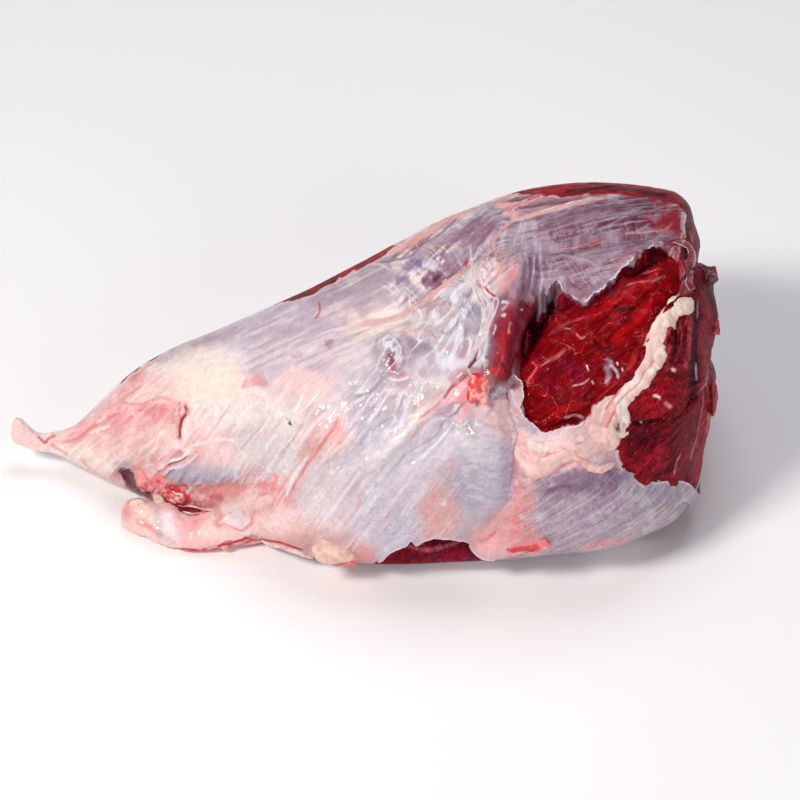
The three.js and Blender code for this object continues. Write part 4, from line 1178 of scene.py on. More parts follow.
def bare_lean(skin):
    """Distance in mm to the edge of the skin, positive where the lean is bare. On the show
    face it follows the outlines above; the cut end is all lean, and so is a band behind it."""
    a, b = skin["a"], skin["b"]
    warp_a = a + 0.9 * clouds(a, b, 21, 5, 3)
    warp_b = b + 0.9 * clouds(a, b, 25, 5, 3)
    show = within(warp_a, warp_b, POCKET) - 0.8 + 2.8 * smooth(236, 244, a) * smooth(104, 96, b)
    show = show - 14 * smooth(-1, 2, within(a, b, ROLL))
    show = np.maximum(show, 8 * stroke(a, b, CREVICE, 4.4, 0.8) - 6)
    for outline in (END_BLOCK, TOP_STRIP, BACK_STRIP, HEEL_STRIP):
        show = np.maximum(show, within(warp_a, warp_b, outline))
    show = np.maximum(show, within(warp_a, warp_b, GAPE) - 0.8)
    behind = (a - 262) + 9 * clouds(skin["y"], skin["z"], 3, 13, 4)
    warp_z = a + 7 * clouds(a, skin["z"], 33, 10, 4)
    warp_h = skin["z"] + 5 * clouds(a, skin["z"], 35, 10, 4)
    tongue = np.maximum.reduce([within(warp_z, warp_h, line) for line in BACK_TONGUES])
    behind = np.maximum(behind, tongue) - 1.5 * np.maximum(0, skin["infront"] + 2)
    over = np.interp(a, [100, 112, 136, 154, 204, 222, 245, 262], [0, 1.6, 2, -3, -4, 2, 7, 13])
    over = over + 3.4 * clouds(a, skin["z"], 37, 9, 4)
    over = np.where(b < 40, 6, over)
    show = np.minimum(show, 0.8 * (skin["infront"] + over + 3 * (a > 240)))
    hem = 1.5 - skin["z"] + 0.9 * clouds(a, 0 * a, 301, 6, 2) - 4 * smooth(206, 190, a)
    return np.clip(np.maximum.reduce([show, behind, hem]), -12, 12)


def painted_lean(a, b, z):
    """Dark red with brighter and darker clouds; wine where it has dried at the right end."""
    c = plain_coat(a, "8a0f1c")
    lay(c, "a81220", 0.8 * smooth(-0.1, 0.7, clouds(a, b, 41, 14, 3)))
    lay(c, "5e0a16", 0.8 * smooth(0.0, 0.8, clouds(a, b, 45, 10, 3)))
    dry = smooth(238, 252, a)
    lay(c, "720a18", 0.9 * dry)
    fibre = radiating(a, b)
    lay(c, "a81c2e", 0.7 * dry * smooth(0, 0.6, fibre))
    lay(c, "3c0510", 0.8 * dry * smooth(0, 0.6, -fibre))
    wa, wb = a + 0.8 * clouds(a, b, 217, 4, 3), b + 0.8 * clouds(a, b, 219, 4, 3)
    lay(c, "7a2430", 0.5 * smooth(262, 274, a) * smooth(58, 50, b - 0.4 * (a - 262)))
    rind = smooth(-0.4, 0.4, clouds(a, b, 57, 8, 3)) * smooth(104, 96, b)
    lay(c, "8c3844", 0.6 * smooth(272, 277, a) * rind)
    for tone, strength, at, size, turn in (
        ("5c1424", 0.6, [248, 50], [6, 4], 0), ("b41a26", 0.6, [254, 61], [7, 5], 30),
        ("9c1420", 0.7, [262, 66], [8, 6], 20),
    ):
        lay(c, tone, strength * mound(a, b, at, size, 1.0, turn))
    oval = smooth(-0.5, 0.9, within(wa, wb, OVAL))
    lay(c, "6a0a18", 0.8 * oval)
    # paler streaks of fibre over the oval, partly painted highlight
    lay(c, "b4404c", 0.7 * oval * smooth(0.05, 0.4, streaks(a, b, 70, 5, 0.9, 2, seed=3)))
    lay(c, "5a0e1e", 0.5 * smooth(0.1, 0.7, clouds(a, z, 53, 12, 3)) * smooth(262, 275, a))
    lay(c, "a8142a", 0.8 * smooth(134, 140, b))
    lay(c, "6a0c20", 0.9 * smooth(270, 273, a) * smooth(100, 108, b) * smooth(144, 136, b))
    lay(c, "a83048", 0.6 * stroke(a, b, [[279, 138], [279, 128], [278, 118], [277, 110]], 0.6, 0.8))
    # painted shadow on the wall between the roll and the pocket
    lay(c, "1e0206", 0.95 * stroke(a, b, CREVICE, 4.4, 0.7))
    low = smooth(12, 9, b) * smooth(144, 150, a) * smooth(214, 206, a)
    lay(c, "4a0a20", 0.9 * low)
    lay(c, "8a1426", 0.85 * low * smooth(2.6, 0.4, b))
    lay(c, "6c1c3c", 0.7 * low * smooth(0.1, 0.5, streaks(a, b, 12, 7, 1.1, 3, seed=2)))
    rim_line = [[152, 0.8], [160, 0.6], [169, 0.2], [178, 1.2], [188, 3.4]]
    lay(c, "c4606c", 0.8 * stroke(a, b, rim_line, 0.5, 0.7))
    lay(c, "7c0c1c", 0.6 * smooth(134, 140, b) * smooth(0.0, 0.5, streaks(a, b, 8, 12, 1.6, 3, seed=9)))
    for line, width, _, tone, strength in LEAN_MARKS:
        away, place, _ = beside(a, b, line, width + 1)
        ends = smooth(-0.02, 0.12, place) * smooth(-0.02, 0.12, 1 - place)
        lay(c, tone, strength * ends * (1 - smooth(0.4 * width, 1.2 * width, away)))
    return c


# seams of fat between the muscles of the cut end: line (y, z) and half width in mm
END_SEAMS = [
    ([[14, 68], [36, 62], [58, 57], [78, 50], [104, 45], [132, 43]], 1.1),
    ([[78, 50], [83, 62], [86, 76], [84, 98]], 0.9),
    ([[104, 45], [108, 30], [102, 16], [104, 6]], 0.7), ([[36, 62], [34, 46], [40, 30], [36, 14]], 0.8),
    ([[86, 76], [98, 80], [112, 76]], 0.5), ([[58, 57], [62, 44], [60, 34]], 0.45),
    ([[118, 44], [124, 58], [122, 70]], 0.5),
]


def painted_body(skin):
    """The painted attributes of the body and its sheets."""
    a, b, z = skin["a"], skin["b"], skin["z"]
    depth = skin["y"] * np.cos(SHOW_TILT) - z * np.sin(SHOW_TILT)
    show = painted_skin(a, b)
    face = smooth(-6, 6, skin["infront"])[..., None]
    back = plain_coat(a, "lilac")
    wa, wz = a + 4 * clouds(a, z, 67, 12, 3), z + 4 * clouds(a, z, 69, 12, 3)
    lay(back, "plum", 0.6 * smooth(0.1, 0.7, clouds(wa, wz, 63, 30, 3)) * smooth(80, 130, a))
    lay(back, "milk", 0.9 * smooth(-0.1, 0.6, clouds(wa, wz, 61, 24, 4)))
    lay(back, "rose", 0.7 * smooth(0.15, 0.7, clouds(wa, wz, 65, 18, 4)))
    lay(back, "cream", smooth(70, 20, a))
    for turn, length, width in ((14, 18, 1.1), (-48, 7, 1.0)):
        lines = streaks(a, z, turn, length, width, 3, seed=turn)
        lay(back, "milk", 0.5 * smooth(0.05, 0.6, lines))
        lay(back, "dusk", 0.4 * smooth(0.05, 0.6, -lines))
    for line, width, _ in BACK_RIDGES:
        lay(back, "cream", 0.8 * stroke(wa, wz, line, 0.9 * width, 0.8))
        lay(back, "coral", 0.5 * stroke(wa, wz, line, 0.3 * width, 0.8))
    lean = painted_lean(a, b, z)
    cut = smooth(0.98, 0.9, skin["share"]) * (a > 200)
    wy, wz = skin["y"] + 2 * clouds(skin["y"], z, 71, 12, 3), z + 2 * clouds(skin["y"], z, 73, 12, 3)
    lay(lean, "a01428", 0.7 * cut * smooth(-0.1, 0.5, clouds(wy, wz, 75, 22, 2)))
    lay(lean, "5a0a18", 0.6 * cut * smooth(0.0, 0.6, -clouds(wy, wz, 77, 16, 3)))
    for line, width in END_SEAMS:
        lay(lean, "b04050", 0.6 * cut * stroke(wy, wz, line, 2.4 * width, 0.9))
        lay(lean, "dcb0a6", 0.75 * cut * stroke(wy, wz, line, 0.85 * width, 0.6))
    return {
        "chart": np.stack([a, b, depth], -1), "skin": show * face + back * (1 - face),
        "lean": lean, "bare": bare_lean(skin),
        "loose": glassiness(a, b) * face[..., 0] + 1.2 * (1 - face[..., 0]),
    }


body = closed_mesh("Beef_Body", body_points, **painted_body(body_skin))
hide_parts("beef")

# %% [markdown]
# ## Sheets of the show face
# The film's finest folds are about a millimetre wide, too fine for one grid round the whole
# piece. A subdivision modifier would only smooth the coarse grid, so the same formula is laid
# out again in five overlapping sheets with points a third of a millimetre apart. Each is a
# closed slab with a thin underside, and its rim dips into the body.

# %% Sheets
def sheet(name, x_low, x_high, rows, columns, lift):
    """Top: the body formula on rows along x and columns round the section, raised by the
    lift; at the rim it falls 0.8 mm, over 1.6 mm where sheets meet and 6 mm elsewhere.
    Underside: 24 columns, 1 mm lower."""
    x = np.linspace(x_low, x_high, rows)[:, None]
    angle = np.linspace(*COVER_TURN, columns)
    below = np.linspace(*COVER_TURN[::-1], 24)
    angle = np.concatenate([angle, below])[None, :]
    top = (np.arange(columns + 24) < columns)[None, :]
    inner = np.minimum(smooth(0, 6, border(x, angle)), smooth(0, 1.6, np.minimum(x - x_low, x_high - x)))
    raised = lift - 0.8 * (1 - inner) - 1.0 * ~top
    points, skin = finished_body(x, end_share(x), angle, lift=raised)
    return closed_mesh(name, points, top=columns, **painted_body(skin))


sheets = [
    sheet("Sheet_Tail", COVER_X[0], 98, 300, 300, 0.2),
    sheet("Sheet_Heel", 95, 147, 190, 480, 0.26),
    sheet("Sheet_Middle", 144, 191, 160, 570, 0.32),
    sheet("Sheet_Shoulder", 188, 235, 150, 610, 0.38),
    sheet("Sheet_End", 232, COVER_X[1], 155, 590, 0.44),
]

# %% [markdown]
# ## Materials
# All of the piece is wet: under a thin film of water and juice every tissue shines, so each
# material has a clear coat over it.

# %% One node helper
def node(tree, kind, inputs=(), out=0, **settings):
    """Adds a shader node, sets its properties and fills its inputs, which are values or links
    by name or in the order of the sockets. Gives the output that has the number out."""
    made = tree.nodes.new("ShaderNode" + kind)
    for key, value in settings.items():
        setattr(made, key, value)
    for key, value in inputs.items() if isinstance(inputs, dict) else enumerate(inputs):
        if isinstance(value, bpy.types.NodeSocket):
            tree.links.new(value, made.inputs[key])
        else:
            made.inputs[key].default_value = value
    return made.outputs[out] if len(made.outputs) else made


def new_material(name):
    """An empty material and its node tree."""
    material = bpy.data.materials.new(name)
    material.use_nodes = True
    material.node_tree.nodes.clear()
    return material, material.node_tree


# %% Parts of a look
def ranged(tree, *ranges):
    """Product of soft ranges, each a value, its low and high, and what these become."""
    share = 1.0
    for values in ranges:
        factor = node(tree, "MapRange", values, interpolation_type="SMOOTHSTEP")
        share = node(tree, "Math", (share, factor), operation="MULTIPLY")
    return share


def shaded(tree, colour, *ranges):
    """A colour times the product of soft ranges."""
    return node(tree, "VectorMath", {0: colour, "Scale": ranged(tree, *ranges)}, operation="SCALE")


def stacked(tree, *parts):
    """Height in mm: the sum of noises, each times its own height."""
    height = 0.0
    for noise, tall in parts:
        height = node(tree, "Math", (noise, tall, height), operation="MULTIPLY_ADD")
    return height


def grain(tree, at, turn, length, width, detail):
    """Noise drawn out along the grain: the chart is turned, then squeezed in mm."""
    turned = node(tree, "Mapping", {"Vector": at, "Rotation": (0, 0, -np.radians(turn))})
    squeezed = node(tree, "Mapping", {"Vector": turned, "Scale": (1 / length, 1 / width, 1 / width)})
    return node(tree, "TexNoise", {"Vector": squeezed, "Scale": 1.0, "Detail": detail})


# %% Three tissues
def skin_look(tree, at, colour, loose=0.0):
    """Silverskin: threads under 1 mm wide, pale and dark by turns, over soft mottling and
    fine flecks. Gives the colour and the height of the finest wrinkles, which stand
    higher where the film is loose."""
    mottle = node(tree, "TexNoise", {"Vector": at, "Scale": 0.34, "Detail": 3.0})
    fleck = node(tree, "TexNoise", {"Vector": at, "Scale": 1.3, "Detail": 2.0})
    thread = grain(tree, at, 44, 7, 0.5, 3)
    flecks = (fleck, 0.3, 0.7, 0.98, 1.03)
    tone = shaded(tree, colour, (thread, 0.3, 0.7, 0.92, 1.1), (mottle, 0.3, 0.7, 0.96, 1.06), flecks)
    raised = node(tree, "Math", (loose, 0.8, 0.15), operation="MULTIPLY_ADD")
    return tone, stacked(tree, (mottle, 1.5), (thread, 0.45), (fleck, raised))


def lean_look(tree, at, colour, turn=38):
    """Raw lean: bundles of fibres about 1 mm wide, dark between, with rare pale threads of
    tissue. Gives the colour and the height of the fibres."""
    fibre = grain(tree, at, turn, 8, 0.7, 4)
    clot = node(tree, "TexNoise", {"Vector": at, "Scale": 0.4, "Detail": 4.0, "Roughness": 0.6})
    tone = shaded(tree, colour, (fibre, 0.3, 0.7, 0.5, 1.5), (clot, 0.3, 0.7, 0.6, 1.34))
    pale = ranged(tree, (grain(tree, at, turn + 6, 5, 0.6, 3), 0.63, 0.72, 0.0, 0.5))
    tone = node(tree, "Mix", {0: pale, 6: tone, 7: (*linear("c8606a"), 1)}, 2, data_type="RGBA")
    return tone, stacked(tree, (clot, 1.2), (fibre, 0.9))


def torn_look(tree, at, colour):
    """Torn lean: soft lobes, close fibres, fine pale threads where a broad noise passes its
    middle value, and sparse groups of bright specks that are painted glints. Gives the colour
    and the height."""
    lobe = node(tree, "TexNoise", {"Vector": at, "Scale": 0.2, "Detail": 4.0, "Distortion": 0.8})
    bead = node(tree, "TexNoise", {"Vector": at, "Scale": 1.1, "Detail": 2.0})
    path = node(tree, "TexNoise", {"Vector": at, "Scale": 0.13, "Detail": 2.0, "Distortion": 0.9})
    fibre = grain(tree, at, 38, 9, 0.7, 3)
    tone = shaded(tree, colour, (lobe, 0.32, 0.68, 0.74, 1.22), (fibre, 0.3, 0.7, 0.6, 1.38))
    offset = node(tree, "Math", (path, 0.5), operation="SUBTRACT")
    offset = node(tree, "Math", (offset,), operation="ABSOLUTE")
    thread = ranged(tree, (offset, 0.01, 0.002), (lobe, 0.48, 0.6, 0.0, 0.3))
    # painted glints: bright specks where the bead noise is high inside the lobes
    painted_glint = ranged(tree, (bead, 0.66, 0.74), (lobe, 0.5, 0.6, 0.05, 0.8))
    marks = node(tree, "Math", (thread, painted_glint), operation="MAXIMUM")
    tone = node(tree, "Mix", {0: marks, 6: tone, 7: (*linear("e0a0a6"), 1)}, 2, data_type="RGBA")
    return tone, stacked(tree, (lobe, 1.6), (bead, 0.3), (fibre, 0.6))


# %% Beef under silverskin
# fascia is a clear moist sheet over the muscle: it gives soft pale colour and wet shines
skin_material, tree = new_material("Wet_Silverskin_Over_Beef")
at = node(tree, "Attribute", out=1, attribute_name="chart")
skin, lean = (node(tree, "Attribute", attribute_name=name) for name in ("skin", "lean"))
bare, loose = (node(tree, "Attribute", out=2, attribute_name=name) for name in ("bare", "loose"))
ragged = node(tree, "TexNoise", {"Vector": at, "Scale": 0.28, "Detail": 3.0})
ragged = node(tree, "Math", (ragged, 0.5), operation="SUBTRACT")
edge = node(tree, "Math", (ragged, 1.6, bare), operation="MULTIPLY_ADD")
mask = ranged(tree, (edge, -0.3, 0.3))
skin_tone, skin_height = skin_look(tree, at, skin, loose)
lean_tone, lean_height = lean_look(tree, at, lean)
light = node(tree, "RGBToBW", (skin,))
rim = ranged(tree, (edge, -1.4, -0.3), (edge, 0.4, -0.1), (light, 0.12, 0.35, 0.0, 0.6))
pale_rim = {0: rim, 6: skin_tone, 7: (*linear("ecd3d3"), 1)}
skin_tone = node(tree, "Mix", pale_rim, 2, data_type="RGBA")
tone = node(tree, "Mix", {0: mask, 6: skin_tone, 7: lean_tone}, 2, data_type="RGBA")
height = node(tree, "Mix", {0: mask, 2: skin_height, 3: lean_height}, data_type="FLOAT")
shader = node(tree, "BsdfPrincipled", {
    "Base Color": tone, "Roughness": ranged(tree, (mask, 0, 1, 0.42, 0.36)), "IOR": 1.4,
    "Normal": node(tree, "Bump", {"Height": height, "Strength": 0.8, "Distance": 0.0011}),
    "Specular IOR Level": ranged(tree, (mask, 0, 1, 0.3, 0.04)),
    "Coat Weight": ranged(tree, (mask, 0, 1, 0.8, 0.06), (loose, 1.0, 1.2, 1.0, 0.35)),
    "Coat Roughness": 0.06, "Coat IOR": 1.33,
    "Subsurface Weight": 0.1, "Subsurface Radius": (1.0, 0.35, 0.25), "Subsurface Scale": 0.003,
})
node(tree, "OutputMaterial", {"Surface": shader})
for piece in (body, *sheets):
    piece.data.materials.append(skin_material)

# %% Raw lean
# muscle torn open: dark red, moist, its beads catch small sharp glints, and its bright specks are painted
# glints
lean_material, tree = new_material("Raw_Lean_Beef")
at = node(tree, "Attribute", out=1, attribute_name="chart")
tone, height = torn_look(tree, at, node(tree, "Attribute", attribute_name="lean"))
shader = node(tree, "BsdfPrincipled", {
    "Base Color": tone, "Roughness": 0.4, "IOR": 1.4, "Specular IOR Level": 0.04,
    "Normal": node(tree, "Bump", {"Height": height, "Strength": 0.8, "Distance": 0.001}),
    "Coat Weight": 0.28, "Coat Roughness": 0.035, "Coat IOR": 1.28,
    "Subsurface Weight": 0.08, "Subsurface Radius": (1.0, 0.2, 0.1), "Subsurface Scale": 0.002,
})
node(tree, "OutputMaterial", {"Surface": shader})

# %% Beef fat
# suet fat: waxy cream, lobed every 2 or 3 mm, lets light a little way in
fat_material, tree = new_material("Beef_Fat")
at = node(tree, "Attribute", out=1, attribute_name="chart")
fat = node(tree, "Attribute", attribute_name="fat")
lobe = node(tree, "TexVoronoi", {"Vector": at, "Scale": 0.38}, feature="SMOOTH_F1")
mottle = node(tree, "TexNoise", {"Vector": at, "Scale": 0.5, "Detail": 4.0})
tone = shaded(tree, fat, (lobe, 0.1, 0.9, 1.06, 0.9), (mottle, 0.3, 0.7, 0.9, 1.06))
height = stacked(tree, (mottle, 0.8), (lobe, -0.7))
shader = node(tree, "BsdfPrincipled", {
    "Base Color": tone, "Roughness": 0.45, "IOR": 1.44,
    "Normal": node(tree, "Bump", {"Height": height, "Strength": 0.6, "Distance": 0.0012}),
    "Coat Weight": 0.5, "Coat Roughness": 0.1, "Coat IOR": 1.35,
    "Subsurface Weight": 0.25, "Subsurface Radius": (1.0, 0.5, 0.35), "Subsurface Scale": 0.003,
})
node(tree, "OutputMaterial", {"Surface": shader})

# %% Tendon and loose film
# tendon and connective film: pearly, with close fibres along it that shimmer
film_material, tree = new_material("Pearly_Connective_Film")
at = node(tree, "Attribute", out=1, attribute_name="chart")
tone, height = skin_look(tree, at, node(tree, "Attribute", attribute_name="skin"))
shader = node(tree, "BsdfPrincipled", {
    "Base Color": tone, "Roughness": 0.38, "IOR": 1.42,
    "Normal": node(tree, "Bump", {"Height": height, "Strength": 0.7, "Distance": 0.001}),
    "Coat Weight": 0.8, "Coat Roughness": 0.07, "Coat IOR": 1.33,
    "Subsurface Weight": 0.2, "Subsurface Radius": (1.0, 0.45, 0.35), "Subsurface Scale": 0.003,
})
node(tree, "OutputMaterial", {"Surface": shader})
print("materials:", [m.name for m in bpy.data.materials])

# %% [markdown]
# ## Laying pieces on the show face
# The bare lean, the fat and the torn films lie on the body at places that are known on the
# chart. They could be projected onto it with a Shrinkwrap modifier, but the body is a
# formula, so the formula can be turned round: from a place on the chart to the point of the
# skin. Every piece is then a closed pad or ribbon with its own thickness.

# %% From the chart to the skin
FACE_X = np.linspace(0.3, 285.6, 500)
probe = np.radians(np.linspace(20, 300, 281))
probe_up = smooth_body(FACE_X[:, None], end_share(FACE_X)[:, None], probe[None, :])["b"]
TOP_ANGLE = probe[probe_up.argmax(axis=1)]
LOW_ANGLE = probe[probe_up.argmin(axis=1)]


def on_face(a, b, height=0.0, relief=0.0):
    """Point of the show face at (a, b), raised by a height and by a share of the main relief
    without its hollows. The angle round the section is found by halving the span between
    the face's upper and lower rim, 24 times."""
    a = np.clip(a, 0.3, 285.6)
    share = end_share(a)
    high = np.interp(a, FACE_X, TOP_ANGLE)
    low = np.interp(a, FACE_X, LOW_ANGLE)
    for _ in range(24):
        angle = (high + low) / 2
        above = smooth_body(a, share, angle)["b"] > b
        high = np.where(above, angle, high)
        low = np.where(above, low, angle)
    skin = smooth_body(a, share, angle)
    if relief:
        main = pile(skin["a"], skin["b"], MAIN_RIDGES, MAIN_MOUNDS)
        height = height + relief * main * smooth(-FADE / 3, FADE, skin["infront"])
    point = np.stack([skin["x"], skin["y"] + height * skin["out_y"], skin["z"] + height * skin["out_z"]], -1)
    point[..., 2] = np.maximum(point[..., 2], 0)
    return point


def chart_of(a, b):
    """The chart attribute of a piece that lies on the face."""
    a, b = np.broadcast_arrays(a, b)
    return np.stack([a, b, np.zeros(a.shape)], -1)


def laid(name, points, a, b, material, slot, **painted):
    """A closed mesh with its chart and its paint, and its material. The slot is not used."""
    painted = {label: np.clip(colours, 0, 1) for label, colours in painted.items()}
    piece = closed_mesh(name, points, chart=chart_of(a, b), **painted)
    piece.data.materials.append(material)
    return piece


def pad_places(centre, outline, rings, spokes):
    """Places of a round pad: from its centre out to the outline and back underneath, as
    (a, b, t) with t rising from 0 to 1 and from 1 to 2."""
    outline = np.asarray(outline) - centre
    angle = np.arctan2(outline[:, 1], outline[:, 0])
    order = np.argsort(angle)
    turn = np.linspace(-np.pi, np.pi, spokes, endpoint=False)
    reach = np.interp(turn, angle[order], np.hypot(*outline.T)[order], period=2 * np.pi)
    t = np.concatenate([np.linspace(0, 1, rings), 1 + np.linspace(0, 1, 9)[1:]])
    share = np.where(t <= 1, t, 2 - t)[:, None]
    a = centre[0] + share * reach * np.cos(turn)
    b = centre[1] + share * reach * np.sin(turn)
    return a, b, t[:, None] + 0 * turn


# %% [markdown]
# ## Bare lean of the pocket
# Where the silverskin is torn, a bed of lean bulges out, with a deep dark crease along the
# rolled edge on its left. It could be a patch of colour, but its fibres stand up and shine,
# so it is a pad of its own with a grid fine enough for them.

# %% Pocket lean
POCKET_CREASE = curve([[222, 105], [216, 100], [210.5, 92], [206.4, 85], [204.2, 79]], 5)
a, b, t = pad_places(np.array([226.0, 80.0]), POCKET, 190, 440)


def pocket_height(a, b):
    """Bed of lean below the skin: a broad swell, lumps of muscle, the crease, the fibres."""
    height = -3.4 + mound(a, b, [237, 86], [20, 16], 3.2, 35) + mound(a, b, [220, 66], [14, 11], 2.6, -20)
    height += mound(a, b, [222, 86], [10, 7], 1.5, 60) + mound(a, b, [260, 112], [7, 7], 1.8)
    height += ridge(a, b, POCKET_CREASE, 4.6, -5.2)
    height += creases(
        a, b, ([[205, 84], [214, 90], [226, 95], [236, 101]], 2.6, -1.6),
        ([[248, 114], [254, 117.5], [260, 121]], 3.2, -3.4), ([[226, 55], [231, 59], [233, 64]], 2.6, -1.6),
        ([[206.6, 76.5], [210.8, 74.3], [207.7, 68.2]], 2.4, 1.2),
    )
    height += 1.0 * clouds(a, b, 71, 8, 3) + 0.5 * streaks(a, b, 38, 14, 2.6, 3, seed=21)
    return height + 0.1 * clouds(a, b, 72, 2.2, 2)


top = pocket_height(a, b)
height = np.where(t <= 1, top, -9.5)
pocket_points = on_face(a, b, height)
c = plain_coat(a, "84030b")
wa, wb = a + 2 * clouds(a, b, 75, 7, 3), b + 2 * clouds(a, b, 78, 7, 3)
# tint, strength, half width and line of each brush stroke, broad ones first
POCKET_STROKES = [
    ("6c0a24", 0.6, 6.0, [[211, 80], [214.6, 73], [217, 65]]),
    ("780a26", 0.7, 5.0, [[220, 78], [226, 72], [226, 66]]),
    # painted shade on the lean under the torn hem
    ("560610", 0.9, 5.5, [[208, 96], [216, 101], [224, 99]]),
    ("9a0a18", 0.8, 3.0, [[209, 84], [207.6, 78], [205.4, 71]]),
    ("7a0610", 0.8, 3.0, [[224, 98], [234, 102], [243, 108]]),
    ("aa0810", 0.8, 4.0, [[226, 92], [236, 97], [246, 103], [258, 112]]),
    ("c01018", 0.7, 3.4, [[240, 84], [248, 92], [256, 101]]),
    ("b0101c", 0.8, 2.6, [[206.6, 76.5], [210.8, 74.3], [207.7, 68.2]]),
    ("a00810", 0.8, 3.0, [[214, 57], [222, 58], [229, 60]]),
    ("d23438", 0.85, 3.2, [[234, 61.4], [242, 67.4], [248, 74], [251.4, 82], [256, 90]]),
    ("5c060e", 0.8, 2.2, [[232, 84], [236, 81], [240, 82]]),
    ("3c0408", 0.85, 1.3, [[240.4, 99.4], [244, 97.3], [249, 98.4]]),
    ("4c040a", 0.8, 1.4, [[247.1, 94.2], [243, 91.6]]),
    ("7a0810", 0.5, 1.6, [[230.6, 60], [232.6, 65], [231, 71]]),
    ("c05060", 0.4, 1.6, [[216, 88], [222, 92], [230, 93.6]]),
    ("c85864", 0.45, 1.2, [[213.8, 76.5], [217.6, 78.1], [221.8, 81.1]]),
    ("d88088", 0.5, 0.5, [[208.9, 77.3], [210.8, 74.6], [208.1, 70.5], [206.9, 67.8]]),
    ("e09aa2", 0.4, 0.35, [[212, 75], [217.6, 78.1], [222.4, 81.6]]),
    ("e0a8ae", 0.6, 0.5, [[224, 67.4], [228.4, 68.4], [231, 70.4]]),
    ("c9a4b6", 0.7, 1.8, [[234.7, 76.5], [238.2, 75.4], [239.6, 72.6], [238.1, 70.1]]),
    ("e6d2da", 0.8, 0.8, [[238.4, 76], [241.4, 73], [242, 70]]),
    # this stroke and the next three are painted glints
    ("f0e4ea", 0.95, 0.55, [[241.4, 76.6], [242, 75.4]]),
    ("f0e4ea", 0.95, 0.5, [[243.4, 74.4], [243.8, 73]]),
    ("f0dce0", 0.9, 0.45, [[229.6, 75.4], [230.6, 73]]),
    ("e8ccd2", 0.8, 0.5, [[231.6, 69.4], [232.6, 68]]),
    ("ecc8c8", 0.8, 0.7, [[238, 64.4], [242.6, 67.4], [246.4, 71.4]]),
    ("d88890", 0.5, 0.6, [[226, 87.6], [228, 85.6], [229.6, 86.4]]),
    ("e2b4ba", 0.7, 0.5, [[222, 90.4], [224, 89.6]]),
    ("b4606c", 0.8, 0.7, [[246, 107.5], [251, 108.6], [257, 109.2], [262, 111]]),
    ("c88890", 0.7, 0.35, [[251.6, 114], [255.1, 113.2], [259.6, 114.5]]),
    ("d9b0b4", 0.75, 0.9, [[221, 55], [226, 55.6], [229.5, 53.8]]),
]
for tone, strength, width, line in POCKET_STROKES:
    if width > 1.5:
        lay(c, tone, strength * stroke(wa, wb, line, width, 0.9))
    else:
        lay(c, tone, strength * stroke(a, b, line, width, 0.6))
# painted shadow in the crease beside the roll and in the crease at the top right
lay(c, "240206", 0.97 * stroke(a, b, POCKET_CREASE[::5] + [1.0, 0.5], 5.0, 0.8))
lay(c, "2a0307", 0.95 * stroke(a, b, [[247, 112.5], [253, 116.5], [260, 120.5]], 3.4, 0.7))
laid("Pocket_Lean", pocket_points, a, b, lean_material, "lean", lean=c)

# %% [markdown]
# ## Fat seam
# Between two muscles lies a seam of hard fat. It stands a little proud of the lean, thins out
# to a feather where it was trimmed, and widens into a pad below the pocket.

# %% Ribbons
def ribbon_places(left, right, count, across):
    """Places of a ribbon between two lines: (a, b, s, t), s along it and t from one edge to
    the other on top, then from 1 to 2 back underneath."""
    left, right = spaced(left, count), spaced(right, count)
    t = np.concatenate([np.linspace(0, 1, across), 1 + np.linspace(0, 1, 8)])
    share = np.where(t <= 1, t, 2 - t)[None, :, None]
    place = left[:, None] * (1 - share) + right[:, None] * share
    s = np.linspace(0, 1, count)[:, None] + 0 * t[None]
    return place[..., 0], place[..., 1], s, t[None] + 0 * s


SEAM_LEFT = [
    [265.6, 102.8], [262.4, 101], [259.6, 97.2], [257.2, 93.8], [255, 90.6], [253.2, 86.8], [251.8, 81.4],
    [250, 77.4], [248.6, 73.8], [246, 70.4], [242, 66.4], [238.6, 63.4], [235.4, 61.2], [233, 58.6],
    [232.4, 55.4], [233, 52.6], [235, 49],
]
SEAM_RIGHT = [
    [268, 103], [271.6, 101], [273.4, 98], [272.6, 95.4], [268, 94], [265.6, 91], [264.2, 86],
    [262.2, 80.2], [260.2, 76.2], [257.6, 72.2], [254.2, 68], [249.8, 63.6], [247.2, 60.4], [246.6, 57],
    [247.2, 52.4], [246.4, 48], [242, 44],
]
a, b, s, t = ribbon_places(SEAM_LEFT, SEAM_RIGHT, 330, 60)
across = np.where(t <= 1, t, 2 - t)
wa, wb = a + 0.7 * clouds(a, b, 91, 4, 3), b + 0.7 * clouds(a, b, 95, 4, 3)
closing = np.sqrt(np.clip(12 * s * (1 - s), 0, 1))
crown = np.clip(4 * across * (1 - across), 0, 1) ** 0.27 * closing
from_furrow = across - 0.52 - 0.1 * cloud(s * 20, 0, 4, 3)
lobes = 0.8 * clouds(a, b, 97, 5, 3) - 0.5 * np.exp(-((from_furrow / 0.06) ** 2)) * smooth(0.3, 0.5, s)
height = np.where(t <= 1, -1.4 + 2.6 * crown + lobes * crown, -3)
c = plain_coat(a, "f0cfc4")
lay(c, "f3dccb", 0.85 * smooth(0.45, 0.1, s) + 0 * a)
lay(c, "e2a6a0", 0.5 * smooth(0, 0.7, clouds(a, b, 101, 6, 3)))
lay(c, "fae8e0", 0.8 * smooth(0.0, 0.6, clouds(a, b, 105, 5, 3)))
lay(c, "c9605f", 0.75 * (1 - smooth(0.0, 0.16, across)) * smooth(0.25, 0.45, s))
lay(c, "c9787a", 0.6 * smooth(0.9, 1.0, across) + 0 * a)
lay(c, "cf8a8a", 0.5 * np.exp(-((from_furrow / 0.05) ** 2)) * smooth(0.35, 0.5, s))
lay(c, "c01c22", 0.6 * stroke(wa, wb, [[236.5, 58.5], [240, 63], [243, 66.4]], 0.6))
